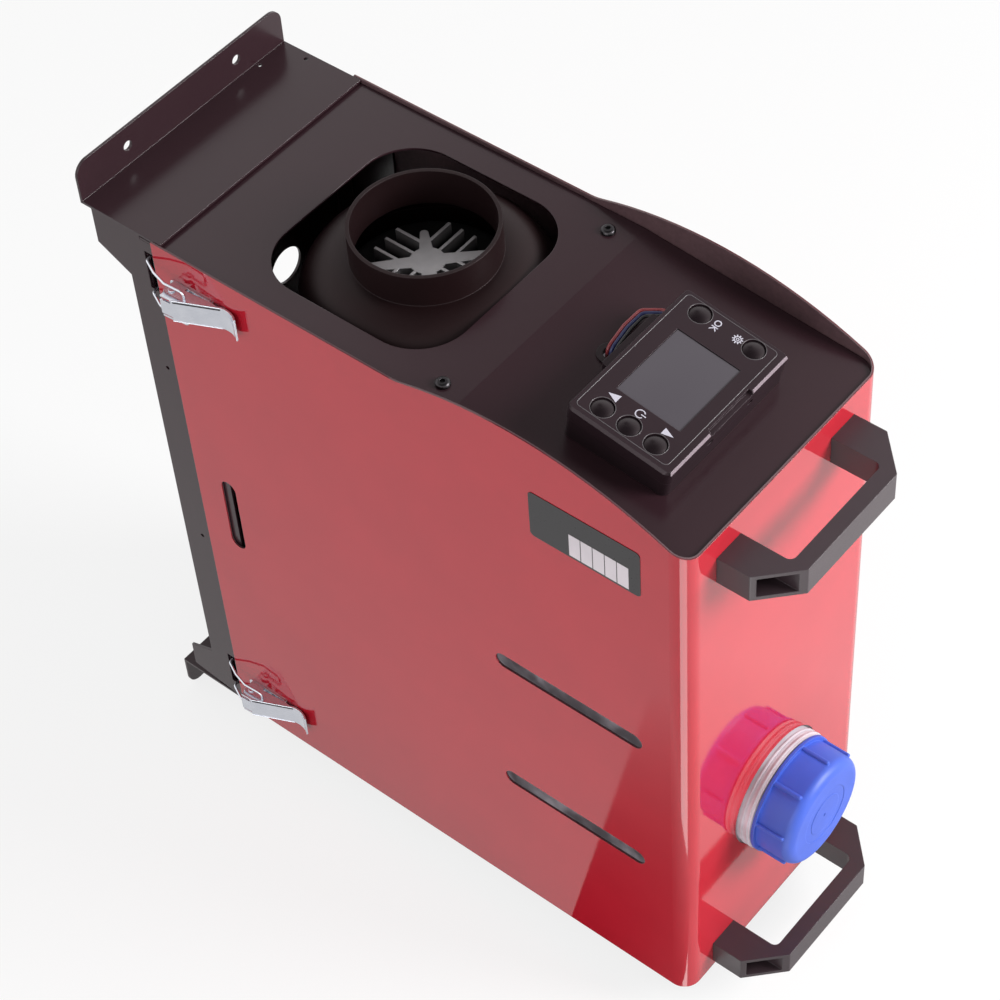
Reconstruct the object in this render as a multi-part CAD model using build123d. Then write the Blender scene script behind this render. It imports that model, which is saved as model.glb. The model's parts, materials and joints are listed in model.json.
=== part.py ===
from build123d import *
from math import atan2, degrees, hypot, sqrt
import os

os.makedirs("parts", exist_ok=True)

# Wall-hung diesel air heater in a sheet-metal case. Every piece is drawn in case
# coordinates: X across the width with 0 in the middle, Y the distance behind the front
# face, Z the height above the underside of the case. save() then moves it to the wall
# datum, the middle of the lower pair of wall holes, where the front faces -Y.

# ---- Case -------------------------------------------------------------------------------
case_width = 150.0
case_depth = 367.0  # front face to wall
case_height = 367.0  # underside to the flat top edge of the sides
sheet = 1.2  # casing, cover and pans
frame_sheet = 1.5
seat_gap = 0.3  # clearance between nested sheets
front_corner_radius = 10.0
casing_length = 318.7  # front face to the rear edge of the sides
front_edge_height = 352.4
crest_rise = 9.9  # arched shoulder above the flat top edge
crest_from_front = 100.0
shoulder_blend_radius = 25.0

side_inner = case_width / 2 - sheet
frame_half = side_inner - seat_gap

# ---- Wall frame -------------------------------------------------------------------------
lip_height = 22.4
lip_corner_radius = 8.0
wall_hole_radius = 2.75
wall_hole_pitch = 78.5
top_plate_length = 53.5
relief_hole_radius = 1.2
rail_width = 44.0
back_panel_from_wall = 27.5
gusset_depth = 20.5
gusset_height = 22.0
gusset_slope_height = 11.0
foot_tab_depth = 17.0
foot_tab_top = 24.0
foot_tab_slope_height = 6.5
foot_slope_start = 16.5
rail_top_notch = 2.2
back_flange = 12.0
back_hole_radius = 11.0
back_hole_pitch = 54.0
back_hole_height = 259.5
bottom_plate_length = 69.0

back_panel_y = case_depth - back_panel_from_wall  # rear face of the panel

# ---- Casing openings --------------------------------------------------------------------
hand_slot_width = 10.0
hand_slot_length = 52.0
hand_slot_from_front = 295.5
hand_slot_height = 182.0
level_slot_width = 10.0
level_slot_length = 90.0
level_slot_from_front = 72.0
level_slot_heights = [100.6, 200.0]

# ---- Top cover --------------------------------------------------------------------------
cover_drop = 2.2  # flat top of the cover below the side edges
cover_fold_from_front = 134.0
cover_front_drop = 0.5
cover_rear_overlap = 14.0
cover_flange = 8.0
cover_flange_setback = 2.0  # from the rounded front corner
cover_opening_width = 115.0
cover_opening_depth = 112.0
cover_opening_radius = 28.0
cover_opening_from_front = 216.1
cover_screw_x = 61.5
cover_screw_from_front = 147.5
cover_screw_radius = 2.0
cover_screw_head_radius = 3.8
cover_screw_head_height = 2.2
cover_screw_length = 8.0
hex_socket_radius = 1.45

cover_top = case_height - cover_drop
cover_front = sheet + seat_gap
cover_front_top = front_edge_height - cover_front_drop
slope_angle = degrees(atan2(cover_top - cover_front_top, cover_fold_from_front - cover_front))

# ---- Pan, bulkhead and mounting plate ---------------------------------------------------
pan_flange = 12.0
bulkhead_from_front = 140.0
bulkhead_flange = 14.0
vent_radius = 50.0
vent_hole_radius = 3.5
vent_hole_pitch = 11.0

# ---- Handles ----------------------------------------------------------------------------
handle_half = 53.3
handle_foot_width = 18.3
handle_reach = 36.0
handle_straight = 18.0
handle_grip_half = 34.4
handle_grip_depth = 8.5
handle_thickness = 16.5
handle_wall = 2.2
handle_pad = 5.0
handle_heights = [13.0, 330.5]
handle_screw_radius = 2.5
handle_screw_head_radius = 4.4
handle_screw_head_height = 3.6
handle_nut_radius = 4.6
handle_nut_height = 4.0

# ---- Data plate -------------------------------------------------------------------------
plate_length = 63.0
plate_height = 30.0
plate_thickness = 0.3
plate_corner_radius = 2.5
plate_from_front = 57.0
plate_middle_height = 329.0

# ---- Draw latches -----------------------------------------------------------------------
latch_heights = [26.0, 344.0]
latch_pivot_from_front = 301.0
latch_pivot_rise = 6.5
latch_base_sheet = 1.0
latch_base_rear = 7.0
latch_base_front = 21.0
latch_ear_inner = 4.7
latch_ear_sheet = 1.0
latch_ear_radius = 4.5
lever_half = 7.0
lever_sheet = 1.0
lever_tab_half = 4.5
lever_tab_rear = 2.5
lever_tab_rise = 13.0
lever_step = 4.0
lever_step_rise = 12.5
lever_bend = 27.0
lever_bend_rise = 2.2
lever_tip = 38.0
lever_tip_rise = 4.6
lever_lobe_radius = 4.2
pivot_pin_radius = 1.25
pivot_clearance = 0.05
bail_wire_radius = 0.7
bail_half = 10.9
bail_pivot_ahead = 9.0
bail_pivot_rise = 7.5
bail_bend_radius = 2.2
hook_behind = 21.4
hook_sink = 4.4
rivet_radius = 1.6
rivet_head_radius = 2.6
rivet_head_height = 1.0
rivet_places = [9.0, 16.5]
keeper_slot_front = 19.9
keeper_slot_rear = 25.2
keeper_slot_half = 12.4

# ---- Fuel tank and cap ------------------------------------------------------------------
tank_half = 65.0
tank_front = 10.0
tank_height = 319.0
tank_edge_radius = 12.0
tank_wall = 3.0
neck_height = 105.5
neck_hole_radius = 34.6
collar_radius = 33.3
collar_reach = 7.4
neck_bore_radius = 24.0
thread_root_radius = 28.0
thread_crest_radius = 28.9
neck_reach = 26.2
thread_pitch = 6.0
cap_flange_radius = 33.4
cap_flange_thickness = 1.8
cap_skirt_radius = 31.0
cap_bore_radius = 29.3
cap_back = 8.2
cap_height = 22.4
cap_edge_radius = 5.5
cap_top_thickness = 2.6
cap_rib_radius = 32.6
cap_rib_width = 2.4
cap_rib_start = 4.6  # below the cap's top
cap_rib_count = 8
cap_rib_turn = 29.5
cap_ring_outer = 17.0
cap_ring_inner = 12.0
cap_ring_depth = 0.2
seal_thickness = 1.4
spigot_length = 9.0
spigot_x = -48.0
spigot_height = 16.0

tank_rear = bulkhead_from_front - seat_gap

# ---- Heater -----------------------------------------------------------------------------
heater_from_front = 208.7
heater_radius = 64.0
heater_wall = 2.5
heater_base = 9.0
inlet_cover_height = 20.0
shell_top = 336.0
hood_shoulder = 339.0
hood_top = 384.0
duct_radius = 37.25
duct_wall = 2.0
grille_bar = 2.4
grille_bar_count = 8
fan_base = 36.0
fan_height = 20.0
fan_radius = 54.0
fan_blade_count = 9
motor_radius = 24.0
motor_base = 60.0
motor_length = 38.0
blower_base = 98.0
blower_height = 22.0
blower_radius = 50.0
impeller_radius = 38.0
impeller_height = 9.0
impeller_blade_count = 16
shaft_radius = 2.5
running_gap = 0.06
exchanger_radius = 44.0
exchanger_wall = 5.0
exchanger_top = 345.0
exchanger_cap = 5.0
fin_reach = 10.0
fin_thickness = 2.2
fin_count = 36
end_rib_height = 14.0
end_rib_reach = 38.0
end_rib_stub = 19.0  # the rib toward the rear right is a short one
end_rib_half = 2.1
end_rib_root_half = 4.2
end_fin_pitch = 8.0
end_fin_start = 8.0
end_fin_end = 26.3
end_fin_thickness = 1.6
end_hub_radius = 9.0
burner_radius = 27.0
burner_wall = 1.5
burner_length = 120.0
glow_plug_radius = 4.0
glow_plug_height = 140.0
pad_half = 42.0
pad_base = 126.0
pad_height = 84.0
control_half = 26.0
control_height = 36.0
control_thickness = 12.0
mount_sheet = 2.0
mount_half = 58.0
mount_foot = 18.0
mount_rise = 12.0  # above the cast pad

# ---- Pipes, pump and hoses --------------------------------------------------------------
pipe_x = 26.0
pipe_port_height = 180.0
pipe_drop_from_front = 314.0
pipe_reach_below = 16.0
pipe_bend_radius = 26.0
exhaust_radius = 12.0
intake_radius = 11.0
pipe_wall = 1.0
pipe_clearance = 1.5
hose_push_length = 13.0  # a hose goes on as far as the bead
hose_bead_width = 2.0
hose_bead_rise = 1.0
pump_x = -50.0
pump_from_front = 301.0
pump_radius = 14.0
pump_base = 86.0
pump_length = 62.0
pump_bore_radius = 5.0
pump_end_wall = 4.0
saddle_half = 8.0
saddle_low = 20.0  # above the pump's foot
saddle_high = 42.0
plunger_length = 22.0
spring_wire_radius = 0.5
spring_turns = 9
filter_x = -62.0
filter_from_front = 287.0
filter_base = 31.0
filter_radius = 8.0
filter_length = 24.0
hose_radius = 3.5
hose_bore_radius = 1.75
hose_lane = -69.3
nipple_wall = 0.7
nipple_length = 6.0
feed_height = 176.0
gland_x = 45.0
gland_height = 60.0
gland_radius = 8.0

# ---- Controller -------------------------------------------------------------------------
control_x = -5.0
control_along = 58.2  # middle of the controller, measured up the slope from its front edge
control_tilt = 4.0  # the controller's wedge-shaped back lifts its rear edge
panel_length = 90.6
panel_width = 58.2
panel_corner_radius = 4.0
face_length = 88.4
face_width = 56.4
bevel_depth = 1.7
back_shell_depth = 11.0
back_shell_floor = 3.4
bezel_depth = 8.4
bezel_notch_left = -14.0
bezel_notch_right = 17.0
bezel_notch_depth = 2.2
bezel_notch_reach = 2.6
shell_wall = 1.8
shell_gap = 0.1
screen_length = 45.6
screen_width = 35.6
screen_recess = 0.5
screen_thickness = 3.0
button_radius = 5.3
button_gap = 0.3
button_travel = 0.8
button_edge_drop = 0.6
button_dome_rise = 1.2
button_lug = 1.0
board_thickness = 1.6
board_rise = 8.6
cable_tab_left = -7.0
cable_tab_right = 32.0
cable_tab_reach = 7.7
cable_tab_low = 1.6
cable_tab_high = 6.0
wire_radius = 0.85
wire_spacing = 1.8
wire_exit = 37.0  # from the controller's middle
wire_exit_half = 4.0
wire_hole_radius = 5.0
wire_hole_x = 0.5
wire_hole_along = 98.3
button_places = {
    "button_ok": (36.5, 15.2),
    "button_settings": (36.5, -15.1),
    "button_up": (-35.5, 15.6),
    "button_power": (-35.5, 0.8),
    "button_down": (-35.5, -14.0),
}


# ---- Drawing helpers --------------------------------------------------------------------
def slab(x0, x1, y0, y1, z0, z1):
    """Rectangular block between two corners."""
    middle = Pos((x0 + x1) / 2, (y0 + y1) / 2, (z0 + z1) / 2)
    return middle * Box(x1 - x0, y1 - y0, z1 - z0)


def post(x, y, z0, z1, radius):
    """Upright cylinder."""
    return Pos(x, y, (z0 + z1) / 2) * Cylinder(radius, z1 - z0)


def pin_y(x, z, y0, y1, radius):
    """Cylinder along the depth."""
    return Pos(x, (y0 + y1) / 2, z) * Rot(90, 0, 0) * Cylinder(radius, y1 - y0)


def pin_x(y, z, x0, x1, radius):
    """Cylinder along the width."""
    return Pos((x0 + x1) / 2, y, z) * Rot(0, 90, 0) * Cylinder(radius, x1 - x0)


def side_sheet(outline, x0, x1):
    """Sheet whose outline is drawn in depth and height."""
    return Pos(x0, 0, 0) * extrude(Plane.YZ * outline, amount=x1 - x0)


def plan_sheet(outline, z0, z1):
    """Sheet whose outline is drawn in width and depth."""
    return Pos(0, 0, z0) * extrude(outline, amount=z1 - z0)


def polygon(points):
    return make_face(Polyline(*points, close=True))


def swept_rod(path, radius):
    section = Plane(origin=path @ 0, z_dir=path % 0) * Circle(radius)
    return sweep(section, path=path)


def swept_tube(path, radius, bore_radius):
    section = Plane(origin=path @ 0, z_dir=path % 0) * (Circle(radius) - Circle(bore_radius))
    return sweep(section, path=path)


def solids_of(shapes):
    return Compound(children=[solid for shape in shapes for solid in shape.solids()])


def save(node, shape):
    placed = Pos(0, -case_depth, lip_height / 2) * shape
    export_step(placed, "parts/" + node + ".step")


# ---- Wall frame -------------------------------------------------------------------------
def wall_lip(z_bend, z_edge):
    """Lip against the wall, with rounded free corners and two holes."""
    low = min(z_bend, z_edge)
    lip = slab(-frame_half, frame_half, case_depth - frame_sheet, case_depth, low, low + lip_height)
    free_edges = lip.edges().filter_by(Axis.Y).group_by(SortBy.LENGTH)[-1]
    corners = [edge for edge in free_edges if abs(edge.center().Z - z_edge) < 0.01]
    lip = fillet(corners, lip_corner_radius)
    hole_z = (z_bend + z_edge) / 2
    for x in (-wall_hole_pitch / 2, wall_hole_pitch / 2):
        lip -= pin_y(x, hole_z, case_depth - 2 * frame_sheet, case_depth + 1, wall_hole_radius)
    return lip


def make_top_plate():
    plate = slab(
        -frame_half, frame_half, case_depth - top_plate_length, case_depth,
        case_height - frame_sheet, case_height,
    )
    plate += wall_lip(case_height, case_height + lip_height)
    plate -= post(wall_hole_pitch / 2 + 13, case_depth - 4, 0, case_height + 1, relief_hole_radius)
    plate -= post(frame_half - 4, case_depth - 20, 0, case_height + 1, relief_hole_radius)
    return plate


def make_bottom_plate():
    front = case_depth - bottom_plate_length
    plate = slab(-frame_half, frame_half, front, case_depth, 0, frame_sheet)
    plate += wall_lip(0, -lip_height)
    for side, radius in ((-1, exhaust_radius), (1, intake_radius)):
        hole = post(side * pipe_x, pipe_drop_from_front, -1, 2 * frame_sheet, radius + pipe_clearance)
        plate -= hole
    return plate


def make_side_rail():
    """Right side rail: flat strip with rear gusset, foot tab and two latch slots."""
    front = back_panel_y - rail_width
    top = case_height - frame_sheet
    outline = polygon([
        (front, frame_sheet),
        (back_panel_y - foot_slope_start, frame_sheet),
        (back_panel_y + foot_tab_depth, frame_sheet + 5),
        (back_panel_y + foot_tab_depth, foot_tab_top),
        (back_panel_y, foot_tab_top + foot_tab_slope_height),
        (back_panel_y, top - gusset_height - gusset_slope_height),
        (back_panel_y + gusset_depth, top - gusset_height),
        (back_panel_y + gusset_depth, top),
        (case_depth - top_plate_length + cover_rear_overlap + seat_gap, top),
        (case_depth - top_plate_length + cover_rear_overlap + seat_gap, top - rail_top_notch),
        (front, top - rail_top_notch),
    ])
    rail = side_sheet(outline, frame_half - frame_sheet, frame_half)
    for height in latch_heights:
        rail -= slab(
            frame_half - 2 * frame_sheet, frame_half + 1,
            latch_pivot_from_front + keeper_slot_front, latch_pivot_from_front + keeper_slot_rear,
            height - keeper_slot_half, height + keeper_slot_half,
        )
    for height in (142.5, 274.0):
        rail -= pin_x(back_panel_y - 13, height, frame_half - 3, frame_half + 1, relief_hole_radius)
    return rail


def make_back_panel():
    half = frame_half - frame_sheet
    front = back_panel_y - frame_sheet
    low = frame_sheet
    high = case_height - frame_sheet
    panel = slab(-half, half, front, back_panel_y, low, high)
    for side in (-1, 1):
        inner = side * (half - frame_sheet)
        outer = side * half
        panel += slab(
            min(inner, outer), max(inner, outer), front - back_flange, front,
            low + 2 * frame_sheet, high - 2 * frame_sheet,
        )
        hole_x = side * back_hole_pitch / 2
        panel -= pin_y(hole_x, back_hole_height, front - 1, back_panel_y + 1, back_hole_radius)
    panel -= pin_y(gland_x, gland_height, front - 1, back_panel_y + 1, gland_radius)
    return panel


# ---- Casing -----------------------------------------------------------------------------
def side_profile(depth):
    """Outline of the casing's side: arched shoulder, then a flat top edge."""
    crest = case_height + crest_rise
    rise = crest - front_edge_height
    arch_radius = (crest_from_front ** 2 + rise ** 2) / (2 * rise)
    arch_end = crest_from_front + sqrt(arch_radius ** 2 - (arch_radius - crest_rise) ** 2)
    outline = Line((0, 0), (0, front_edge_height))
    outline += ThreePointArc((0, front_edge_height), (crest_from_front, crest), (arch_end, case_height))
    outline += Polyline((arch_end, case_height), (depth, case_height), (depth, 0), (0, 0))
    face = make_face(outline)
    blend = face.vertices().sort_by_distance((arch_end, case_height, 0))[0]
    return fillet(blend, shoulder_blend_radius)


def wrapped_plan(inset):
    """Plan of the wrapped sheet, open at the rear, drawn inwards by inset."""
    half = case_width / 2 - inset
    plan = Pos(0, inset + casing_length / 2 + 5) * Rectangle(2 * half, casing_length + 10)
    corners = plan.vertices().group_by(Axis.Y)[0]
    return fillet(corners, front_corner_radius - inset)


def obround_x(length, width, y, z, upright):
    shape = SlotOverall(length, width)
    if upright:
        shape = Rot(0, 0, 90) * shape
    return side_sheet(Pos(y, z) * shape, -case_width, case_width)


def make_casing():
    shell = plan_sheet(wrapped_plan(0) - wrapped_plan(sheet), 0, case_height + 2 * crest_rise)
    shell &= side_sheet(side_profile(casing_length), -case_width, case_width)
    shell -= obround_x(hand_slot_length, hand_slot_width, hand_slot_from_front, hand_slot_height, True)
    for height in level_slot_heights:
        shell -= obround_x(level_slot_length, level_slot_width, level_slot_from_front, height, False)
    shell -= pin_y(0, neck_height, -1, 2 * sheet, neck_hole_radius)
    for x, z in handle_screw_points():
        shell -= pin_y(x, z, -1, 2 * sheet, handle_screw_radius)
    for y, z in rivet_points():
        shell -= pin_x(y, z, -case_width, case_width, rivet_radius)
    return shell


def rivet_points():
    return [
        (latch_pivot_from_front - ahead, height)
        for height in latch_heights
        for ahead in rivet_places
    ]


# ---- Pan, bulkhead, cover ---------------------------------------------------------------
def make_floor_pan():
    front = sheet + seat_gap
    rear = case_depth - bottom_plate_length - seat_gap
    half = side_inner
    pan = slab(-half, half, front, rear, 0, sheet)
    corners = pan.edges().filter_by(Axis.Z).group_by(Axis.Y)[0]
    pan = fillet(corners, front_corner_radius - sheet)
    flange_front = front + front_corner_radius
    flange_rear = back_panel_y - rail_width - seat_gap
    for side in (-1, 1):
        inner = side * (half - sheet)
        outer = side * half
        pan += slab(min(inner, outer), max(inner, outer), flange_front, flange_rear, 0, pan_flange)
    rows = int(vent_radius / vent_hole_pitch)
    for row in range(-rows, rows + 1):
        for column in range(-rows, rows + 1):
            x = row * vent_hole_pitch
            y = column * vent_hole_pitch
            if hypot(x, y) < vent_radius - vent_hole_radius:
                pan -= post(x, heater_from_front + y, -1, 2 * sheet, vent_hole_radius)
    return pan


def make_bulkhead():
    half = side_inner - sheet - seat_gap
    top = cover_top - sheet
    y0 = bulkhead_from_front
    wall = slab(-half, half, y0, y0 + sheet, sheet, top)
    wall += slab(-half, half, y0, y0 + bulkhead_flange, top - sheet, top)
    wall += slab(-half, half, y0, y0 + bulkhead_flange, sheet, 2 * sheet)
    for side in (-1, 1):
        wall -= post(side * cover_screw_x, cover_screw_from_front, top - 3, top + 1, cover_screw_radius)
    wall -= pin_y(spigot_x, spigot_height, y0 - 1, y0 + 2 * sheet, hose_radius + 1)
    return wall


def slope_height(y):
    """Height of the cover's top face at distance y behind the front face."""
    return cover_front_top + (y - cover_front) * (cover_top - cover_front_top) / (
        cover_fold_from_front - cover_front
    )


def make_top_cover():
    rear = case_depth - top_plate_length + cover_rear_overlap
    profile = [
        (cover_front, cover_front_top),
        (cover_fold_from_front, cover_top),
        (rear, cover_top),
    ]
    below = [(y, z - sheet) for y, z in reversed(profile)]
    skirt = [(y, z - sheet - cover_flange) for y, z in reversed(profile)]
    half = side_inner - seat_gap
    cover = side_sheet(polygon(profile + below), -half, half)
    corners = cover.edges().filter_by(Axis.Z).group_by(Axis.Y)[0]
    cover = fillet(corners, front_corner_radius - sheet)
    skirt_face = polygon(profile + skirt)
    for side in (-1, 1):
        inner = side * (half - sheet)
        outer = side * half
        flange = side_sheet(skirt_face, min(inner, outer), max(inner, outer))
        flange_front = front_corner_radius + cover_flange_setback
        flange_rear = back_panel_y - rail_width - seat_gap
        flange &= slab(-case_width, case_width, flange_front, flange_rear, 0, case_height)
        cover += flange
    opening = Pos(0, cover_opening_from_front) * RectangleRounded(
        cover_opening_width, cover_opening_depth, cover_opening_radius
    )
    cover -= plan_sheet(opening, cover_top - 2 * sheet, cover_top + 1)
    for side in (-1, 1):
        cover -= post(side * cover_screw_x, cover_screw_from_front, cover_top - 2 * sheet, cover_top + 1,
                      cover_screw_radius)
    cover -= on_slope(post(wire_hole_x, wire_hole_along, -3, 3, wire_hole_radius))
    return cover


def on_slope(shape):
    """Moves a shape drawn on a flat panel (X, distance up the slope, height) to the cover."""
    return Pos(0, cover_front, cover_front_top) * Rot(slope_angle, 0, 0) * shape


# ---- Handles and screws -----------------------------------------------------------------
def handle_screw_points():
    x = handle_half - handle_foot_width / 2
    return [(side * x, z) for side in (-1, 1) for z in handle_heights]


def make_handle(height):
    foot_inner = handle_half - handle_foot_width
    plan = polygon([
        (-handle_half, 0),
        (-handle_half, -handle_straight),
        (-handle_grip_half, -handle_reach),
        (handle_grip_half, -handle_reach),
        (handle_half, -handle_straight),
        (handle_half, 0),
        (foot_inner, 0),
        (foot_inner, -handle_reach + handle_grip_depth),
        (-foot_inner, -handle_reach + handle_grip_depth),
        (-foot_inner, 0),
    ])
    handle = plan_sheet(plan, height - handle_thickness / 2, height + handle_thickness / 2)
    grip_corners = handle.edges().filter_by(Axis.Z)
    inner = [
        edge for edge in grip_corners
        if abs(edge.center().Y + handle_reach - handle_grip_depth) < 0.01
    ]
    handle = fillet(inner, 3.5)
    rim = [edge for edge in handle.edges().filter_by(Axis.Z) if edge.center().Y < -handle_straight + 0.01]
    outer = [edge for edge in rim if abs(edge.center().X) > handle_grip_half - 0.01]
    handle = fillet([edge for edge in outer if edge.center().Y < -handle_straight / 2], 1.0)
    for side in (-1, 1):
        near = side * (foot_inner + handle_wall)
        far = side * (handle_half - handle_wall)
        pocket = slab(
            min(near, far), max(near, far), -handle_reach - 1, -handle_pad,
            height - handle_thickness / 2 + handle_wall, height + handle_thickness / 2 - handle_wall,
        )
        handle -= pocket
        handle -= pin_y(side * (handle_half - handle_foot_width / 2), height, -handle_reach, 1,
                        handle_screw_radius)
    return handle


def make_screws():
    screws = []
    for side in (-1, 1):
        x = side * cover_screw_x
        y = cover_screw_from_front
        head = post(x, y, cover_top, cover_top + cover_screw_head_height, cover_screw_head_radius)
        head = fillet(head.edges().group_by(Axis.Z)[-1], 0.8 * cover_screw_head_height)
        shank = post(x, y, cover_top - cover_screw_length, cover_top, cover_screw_radius)
        socket = Pos(x, y, cover_top + 0.8) * extrude(RegularPolygon(hex_socket_radius, 6), 3)
        screws.append(head + shank - socket)
    for x, z in handle_screw_points():
        seat = -handle_pad
        head = pin_y(x, z, seat - handle_screw_head_height, seat, handle_screw_head_radius)
        shank = pin_y(x, z, seat, sheet + handle_nut_height, handle_screw_radius)
        nut = pin_y(x, z, sheet, sheet + handle_nut_height, handle_nut_radius)
        screws.append(head + shank + nut)
    return solids_of(screws)


def make_data_plate():
    outline = Pos(plate_from_front, plate_middle_height) * RectangleRounded(
        plate_length, plate_height, plate_corner_radius
    )
    return side_sheet(outline, -case_width / 2 - plate_thickness, -case_width / 2)


# ---- Draw latches, drawn for the right side ---------------------------------------------
# Latch coordinates: ahead = towards the front from the lever's pivot, rise = outwards from
# the casing's side.
def latch_point(ahead, rise):
    return (case_width / 2 + rise, latch_pivot_from_front - ahead)


def latch_face(points):
    return polygon([latch_point(ahead, rise) for ahead, rise in points])


def latch_disc(ahead, rise, radius):
    x, y = latch_point(ahead, rise)
    return Pos(x, y) * Circle(radius)


def make_latch_base(height):
    plate = slab(
        case_width / 2, case_width / 2 + latch_base_sheet,
        latch_pivot_from_front - latch_base_front, latch_pivot_from_front + latch_base_rear,
        height - latch_ear_inner - latch_ear_sheet, height + latch_ear_inner + latch_ear_sheet,
    )
    plate = fillet(plate.edges().filter_by(Axis.X), 2.0)
    ear = latch_disc(0, latch_pivot_rise, latch_ear_radius) + latch_face([
        (-latch_ear_radius, 0), (latch_ear_radius, 0),
        (latch_ear_radius, latch_pivot_rise), (-latch_ear_radius, latch_pivot_rise),
    ])
    ear -= latch_disc(0, latch_pivot_rise, pivot_pin_radius)
    for low in (latch_ear_inner, -latch_ear_inner - latch_ear_sheet):
        plate += plan_sheet(ear, height + low, height + low + latch_ear_sheet)
    for ahead in rivet_places:
        plate -= pin_x(latch_pivot_from_front - ahead, height, 0, case_width, rivet_radius)
    return plate


def make_latch_lever(height):
    """Channel-shaped lever with a narrow rear tab and a curled finger lip."""
    tip = (lever_tip, lever_tip_rise)
    lip_middle = ((lever_bend + lever_tip) / 2, lever_bend_rise - 0.2)
    lip_inside = (lip_middle[0], lip_middle[1] - lever_sheet)
    outer_lip = ThreePointArc(
        latch_point(lever_bend, lever_bend_rise), latch_point(*lip_middle), latch_point(*tip)
    )
    inner_lip = ThreePointArc(
        latch_point(tip[0] + 0.4, tip[1] - lever_sheet), latch_point(*lip_inside),
        latch_point(lever_bend, lever_bend_rise - lever_sheet),
    )
    under_face = Polyline(
        latch_point(lever_bend, lever_bend_rise - lever_sheet),
        latch_point(lever_step, lever_step_rise - lever_sheet),
        latch_point(lever_step, lever_step_rise),
        latch_point(lever_bend, lever_bend_rise),
    )
    tip_edge = Line(latch_point(*tip), latch_point(tip[0] + 0.4, tip[1] - lever_sheet))
    face = make_face(outer_lip + tip_edge + inner_lip + under_face)
    lever = plan_sheet(face, height - lever_half, height + lever_half)
    tab = latch_face([
        (-lever_tab_rear, lever_tab_rise), (lever_step, lever_step_rise),
        (lever_step, lever_step_rise - lever_sheet), (-lever_tab_rear, lever_tab_rise - lever_sheet),
    ])
    lever += plan_sheet(tab, height - lever_tab_half, height + lever_tab_half)
    cheek = latch_face([
        (-lever_tab_rear, lever_tab_rise - lever_sheet / 2),
        (lever_step, lever_step_rise - lever_sheet / 2),
        (lever_bend - 1, lever_bend_rise),
        (lever_bend - 6, lever_bend_rise - lever_sheet / 2),
        (lever_step + 2, latch_pivot_rise - 3.4),
        (0, latch_pivot_rise - 2),
        (-lever_tab_rear, latch_pivot_rise),
    ])
    cheek += latch_disc(0, latch_pivot_rise, lever_lobe_radius)
    cheek -= latch_disc(0, latch_pivot_rise, pivot_pin_radius + pivot_clearance)
    cheek -= latch_disc(bail_pivot_ahead, bail_pivot_rise, bail_wire_radius + pivot_clearance)
    for low in (lever_half - lever_sheet, -lever_half):
        lever += plan_sheet(cheek, height + low, height + low + lever_sheet)
    return lever


def make_latch_bail(height):
    """Wire loop from the lever's cheeks, round through the slot of the side rail."""
    inner_end = lever_half - 1.4 * lever_sheet
    corner = [
        (bail_pivot_ahead, bail_pivot_rise),
        (-3.0, 8.2),
        (-12.0, 5.8),
        (-hook_behind + 0.8, 1.6),
        (-hook_behind, -hook_sink),
    ]
    side = [latch_point(ahead, rise) for ahead, rise in corner]
    points = [(*side[0], height + inner_end)]
    points += [(x, y, height + bail_half) for x, y in side]
    points += [(x, y, height - bail_half) for x, y in reversed(side)]
    points += [(*side[0], height - inner_end)]
    path = FilletPolyline(*points, radius=bail_bend_radius)
    return swept_rod(path, bail_wire_radius)


def make_latch_rivets():
    pieces = []
    x, y = latch_point(0, latch_pivot_rise)
    reach = lever_half + 0.1
    for height in latch_heights:
        pin = post(x, y, height - reach, height + reach, pivot_pin_radius)
        for low in (reach, -reach - 0.6):
            pin += post(x, y, height + low, height + low + 0.6, 1.6 * pivot_pin_radius)
        pieces.append(pin)
    face = case_width / 2 + latch_base_sheet
    for y, z in rivet_points():
        rivet = pin_x(y, z, side_inner, face, rivet_radius)
        rivet += pin_x(y, z, face, face + rivet_head_height, rivet_head_radius)
        pieces.append(rivet)
    return solids_of(pieces + [mirror(piece, about=Plane.YZ) for piece in pieces])


# ---- Fuel tank and cap ------------------------------------------------------------------
def make_fuel_tank():
    outer = slab(-tank_half, tank_half, tank_front, tank_rear, sheet, sheet + tank_height)
    outer = fillet(outer.edges(), tank_edge_radius)
    inner = slab(
        -tank_half + tank_wall, tank_half - tank_wall, tank_front + tank_wall, tank_rear - tank_wall,
        sheet + tank_wall, sheet + tank_height - tank_wall,
    )
    inner = fillet(inner.edges(), tank_edge_radius - tank_wall)
    tank = outer + pin_y(0, neck_height, -collar_reach, tank_front + 1, collar_radius)
    for y in (-5.6, -2.2):
        tank += pin_y(0, neck_height, y - 0.5, y + 0.5, collar_radius + 0.5)
    tank += pin_y(0, neck_height, -neck_reach, -collar_reach, thread_root_radius)
    turns = int((neck_reach - collar_reach - 4) / thread_pitch)
    for turn in range(turns + 1):
        y = -neck_reach + 2 + turn * thread_pitch
        tank += pin_y(0, neck_height, y, y + 1.6, thread_crest_radius)
    tank += pin_y(spigot_x, spigot_height, tank_rear - 1, tank_rear + spigot_length, hose_bore_radius)
    tank -= inner
    tank -= pin_y(0, neck_height, -neck_reach - 1, tank_front + tank_wall + 1, neck_bore_radius)
    tank -= pin_y(spigot_x, spigot_height, tank_rear - tank_wall - 1, tank_rear + spigot_length + 1,
                  hose_bore_radius - nipple_wall)
    return tank


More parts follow.
